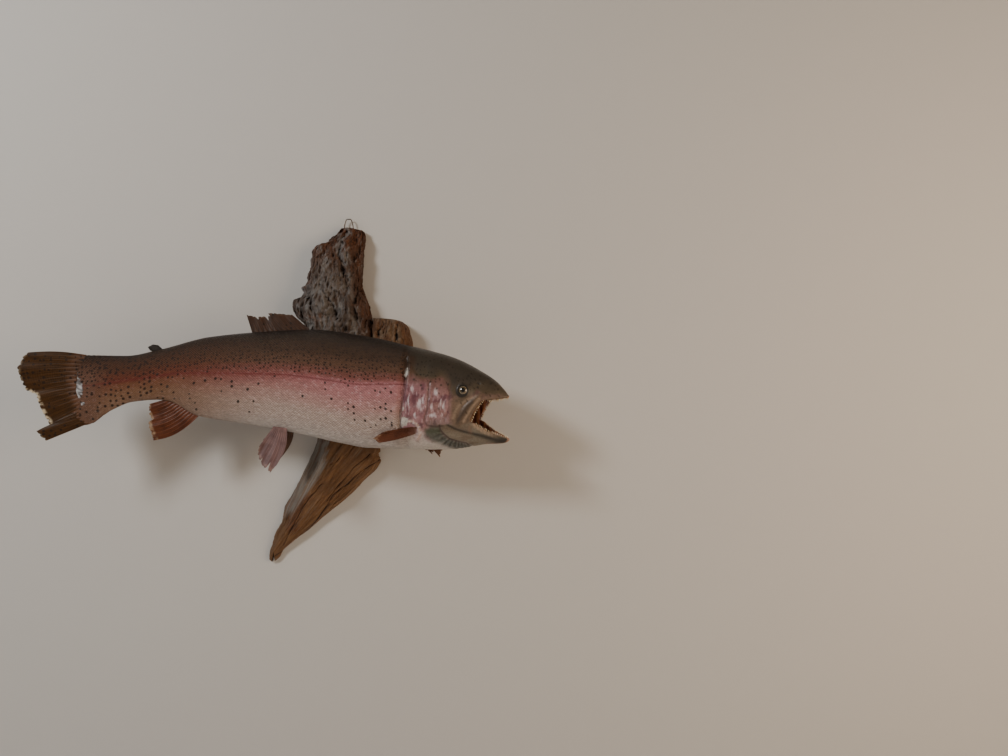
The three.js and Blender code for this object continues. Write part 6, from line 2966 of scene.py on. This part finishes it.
def fins() -> list[tuple[Fin, str, str]]:
    """Every fin with the node that it replaces and its material slot.

    Returns:
        Each fin with its node and its slot.
    """
    tail = FinFinish(
        "tail fin", (0.025, 0.0105, 0.0018), (0.058, 0.023, 0.0040), (0.62, 0.52, 0.36),
        (0.118, 0.056, 0.032), spots=0.6, worn=1.0, most_worn=(0.40, 0.74),
    )
    dorsal = FinFinish(
        "dorsal fin", (0.028, 0.013, 0.008), (0.062, 0.029, 0.016), (0.13, 0.085, 0.055),
        (0.060, 0.036, 0.024), spots=0.45,
    )
    fatty = FinFinish(
        "adipose fin", (0.012, 0.009, 0.007), (0.020, 0.014, 0.010), (0.03, 0.02, 0.015),
        (0.04, 0.025, 0.016), spots=0.3, worn=0.2,
    )
    anal = FinFinish(
        "anal fin", (0.038, 0.010, 0.004), (0.120, 0.034, 0.012), (0.42, 0.30, 0.19), (0.150, 0.052, 0.028)
    )
    pelvic = FinFinish(
        "right pelvic fin", (0.070, 0.036, 0.040), (0.215, 0.128, 0.122), (0.30, 0.20, 0.17),
        (0.27, 0.16, 0.15),
    )
    far_pelvic = FinFinish(
        "left pelvic fin", (0.035, 0.016, 0.010), (0.085, 0.040, 0.024), (0.20, 0.12, 0.08),
        (0.14, 0.075, 0.055),
    )
    pectoral = FinFinish(
        "right pectoral fin", (0.045, 0.015, 0.008), (0.130, 0.042, 0.020), (0.34, 0.22, 0.14),
        (0.26, 0.135, 0.105),
    )
    stub = FinFinish(
        "left pectoral fin", (0.050, 0.022, 0.012), (0.120, 0.052, 0.026), (0.30, 0.20, 0.13),
        (0.16, 0.08, 0.05),
    )
    tail_root = ((-352.3, 45), (-364, 20), (-366, -8), (-358, -30), (-336, -49))
    tail_edge = (
        (-428, 48), (-436, 40), (-441, 26), (-437, 6), (-430, -7), (-420, -12), (-411, -36),
        (-405, -48), (-400, -56), (-409, -60), (-418, -65), (-413, -71), (-405, -79),
    )
    dorsal_edge = ((-60, 106), (-77, 107.5), (-96, 109), (-93, 104.5), (-110, 103), (-127, 105.5))
    adipose_edge = ((-255, 60), (-262, 61), (-269, 57), (-266, 52))
    anal_edge = ((-262, -81), (-266, -67), (-269, -53), (-265, -49), (-269, -38), (-267, -27))
    pelvic_root = ((-62, -62), (-82, -60))
    pelvic_edge = ((-75, -117), (-84, -127), (-91, -121), (-99, -114), (-103, -101), (-101, -89))
    far_edge = ((-85, -111), (-94, -121), (-101, -115), (-109, -108), (-113, -95), (-111, -83))
    pectoral_edge = ((79, -82), (71, -75), (82, -68), (90, -65))
    stub_edge = ((159, -98), (155, -109), (146, -98), (145, -106), (137, -100), (128, -97))
    return [
        (Fin(
            "tail_rays", tail_root, tail_edge, 19, tail, bow=(0, 3), thin=1.1, fray=3.4, wave=1.0,
            splits=((0.30, 2.5), (0.47, 3)), rows=56, relief=0.27,
        ), "tail_fin", "tail_fin"),
        (Fin(
            "dorsal_rays", ((-28, 79), (-118, 76)), dorsal_edge, 12, dorsal, thick=3.8, fray=2.5,
            splits=((0.62, 6), (0.80, 4)),
        ), "dorsal_fin", "fin"),
        (Fin(
            "adipose_flap", ((-244, 50), (-256, 48)), adipose_edge, 5, fatty, thick=3.8, thin=1.8,
            fray=0.4, wave=0.2, columns_per_ray=7, rows=22,
        ), "adipose_fin", "adipose"),
        (Fin(
            "anal_rays", ((-194, -42), (-240, -19)), anal_edge, 11, anal, bow=(0, -9), thick=3.8,
            splits=((0.55, 5), (0.8, 3)), rows=44,
        ), "anal_fin", "fin"),
        (Fin(
            "pelvic_rays_right", pelvic_root, pelvic_edge, 10, pelvic, (-19, -17), (-30, -26), (6, 0),
            thick=3.8, thin=1.1, wave=0.9, fray=4.0, splits=((0.34, 9), (0.60, 7)), rows=44,
        ), "pelvic_fin_right", "fin"),
        (Fin(
            "pelvic_rays_left", pelvic_root, far_edge, 10, far_pelvic, (19, 17), (30, 26), (6, 0),
            thick=3.8, thin=1.1, wave=0.9, fray=4.0, splits=((0.45, 7),), rows=44,
        ), "pelvic_fin_left", "fin"),
        (Fin(
            "pectoral_rays_right", ((139, -67), (141, -57)), pectoral_edge, 12, pectoral, (-30.5, -34),
            (-44, -46), (0, -2), thick=4.8, thin=1.3, wave=0.7, splits=((0.45, 5), (0.75, 4)), rows=48,
        ), "pectoral_fin_right", "fin"),
        (Fin(
            "pectoral_rays_left", ((140, -84), (124, -80)), stub_edge, 9, stub, (20, 25), (29, 31),
            thick=3.8, thin=1.3, wave=0.9, fray=4.0, splits=((0.3, 5), (0.62, 5)),
        ), "pectoral_fin_left", "fin"),
    ]


def wood() -> list[tuple[WoodBlock, WoodFinish, str, str]]:
    """Every piece of driftwood with its finish, the node that it replaces and its slot.

    Returns:
        Each block with its finish, its node and its slot.
    """
    bark = BarkBlock(
        "bark",
        left=(
            (-30, -50), (40, -58), (98, -63.5), (110, -75), (123, -80), (134, -80), (141, -67.5),
            (148, -63), (155, -66), (160, -60), (180, -56), (194, -53), (209, -51), (221, -47),
            (226, -33), (235, -20), (243, -9), (250, -2),
        ),
        right=(
            (-30, 66), (60, 60), (104, 46.5), (130, 41), (150, 33), (163, 29.5), (190, 32), (240, 34),
            (247, 32), (250, 22),
        ),
        depth=((-30, 50), (60, 52), (130, 50), (180, 44), (220, 34), (250, 20)),
        levels=(-30, 250), slant=0.06,
        crevices=(
            ((0, 190), (10, 168), (18, 149)), ((-18, 142), (-12, 124), (-3, 104)), ((-46, 136), (-41, 112)),
            ((2, 224), (-4, 206), (4, 194)), ((25, 150), (22, 128), (27, 104)),
        ),
    )
    prong = ProngBlock(
        "prong",
        left=(
            (-284, -118), (-280, -121.5), (-273, -121), (-253, -115.5), (-239, -113), (-219, -101.5),
            (-201, -99.5), (-171, -83), (-136, -65), (-110, -53), (-85, -45), (-30, -50),
        ),
        right=(
            (-284, -112), (-275, -103), (-265, -97), (-250, -80), (-232, -55.5), (-210, -31), (-183, 3),
            (-153, 33.5), (-124, 59), (-103, 58), (-30, 66),
        ),
        depth=((-284, 7), (-250, 14), (-200, 24), (-140, 36), (-84, 45), (-30, 50)),
        levels=(-284, -30.3), slant=0.44,
    )
    knot = KnotBlock(
        "knot", left=((30, 40.2), (106, 47.8)),
        right=(
            (30, 58), (33, 88), (38, 101), (46, 108), (62, 111), (80, 107), (92, 104), (100, 97),
            (104, 84), (106, 58),
        ),
        depth=((30, 44), (106, 44)), levels=(30, 106), slant=0.1,
        crevices=(((66, 100), (60, 60)), ((92, 96), (86, 52))), back=1.1, crevice_depth=2.2,
        crevice_width=1.9, level_pitch=0.9, swell=0.7, bleached=(80.0, 110.0, 12.0),
    )
    bark_tone = WoodFinish(
        "bark", light=(0.078, 0.043, 0.026), dark=(0.034, 0.017, 0.009), dust=(0.195, 0.188, 0.182),
        stain=(0.125, 0.038, 0.010), stained_above=0.215, stained_right=0.9,
    )
    split_tone = WoodFinish(
        "split wood", light=(0.188, 0.093, 0.037), dark=(0.104, 0.050, 0.020), dust=(0.190, 0.180, 0.160),
        stain=(0.135, 0.050, 0.018), dirt=(0.026, 0.012, 0.006),
    )
    knot_tone = WoodFinish(
        "knot", light=(0.155, 0.070, 0.028), dark=(0.070, 0.029, 0.011), dust=(0.200, 0.140, 0.088),
        stain=(0.140, 0.054, 0.018),
    )
    return [
        (bark, bark_tone, "driftwood_bark", "bark"),
        (prong, split_tone, "driftwood_prong", "split_wood"),
        (knot, knot_tone, "driftwood_knot", "bark"),
    ]


def give_finish(piece: Object, finish: Material) -> None:
    """Makes a finish the only one of a piece, on all its faces.

    Args:
        piece: the piece.
        finish: its material.
    """
    piece.data.materials.clear()
    piece.data.materials.append(finish)
    piece.data.polygons.foreach_set("material_index", [0] * len(piece.data.polygons))


def dress(piece: Object, slot: str, *nodes: str) -> None:
    """Lets a piece ride with the part and stand for its nodes, and reports it.

    Args:
        piece: the finished object.
        slot: the material slot of the record, or an empty name where none fits; not used.
        nodes: the nodes that it replaces.
    """
    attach(piece, "root")
    if nodes:
        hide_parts(*nodes)
    LOG.info("%s: %d faces", piece.name, len(piece.data.polygons))


def main() -> None:
    """Builds every piece of the mounted trout and the studio round it."""
    logging.basicConfig(level=logging.INFO, format="%(name)s: %(message)s")
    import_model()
    markings, weathering = TroutMarkings().build(), weathering_group()
    setter = PieceSetter()

    skin = Skin().build()
    give_finish(skin, SkinFinish().build(markings))
    dress(skin, "skin_flank", *FLESH)
    for piece in ScaleCoat().build(setter, ScaleFinish().build(markings)):
        dress(piece, "skin_flank")
    glass = EyeFinish().build()
    for flank, side in ((-1, "right"), (1, "left")):
        dress(Eyeball(flank, f"eyeball_{side}").build(glass), "glass_eye", f"eye_{side}")
    dress(Teeth().build(setter, ToothFinish().build()), "skin_jaw")
    for fin, node, slot in fins():
        dress(fin.build(), slot, node)
    for block, finish, node, slot in wood():
        dress(block.build(finish.build(weathering)), slot, node)
    dress(HangerLoop().build(WireFinish().build()), "wire", "hanger_loop")
    Studio().build()


if __name__ == "__main__":
    main()
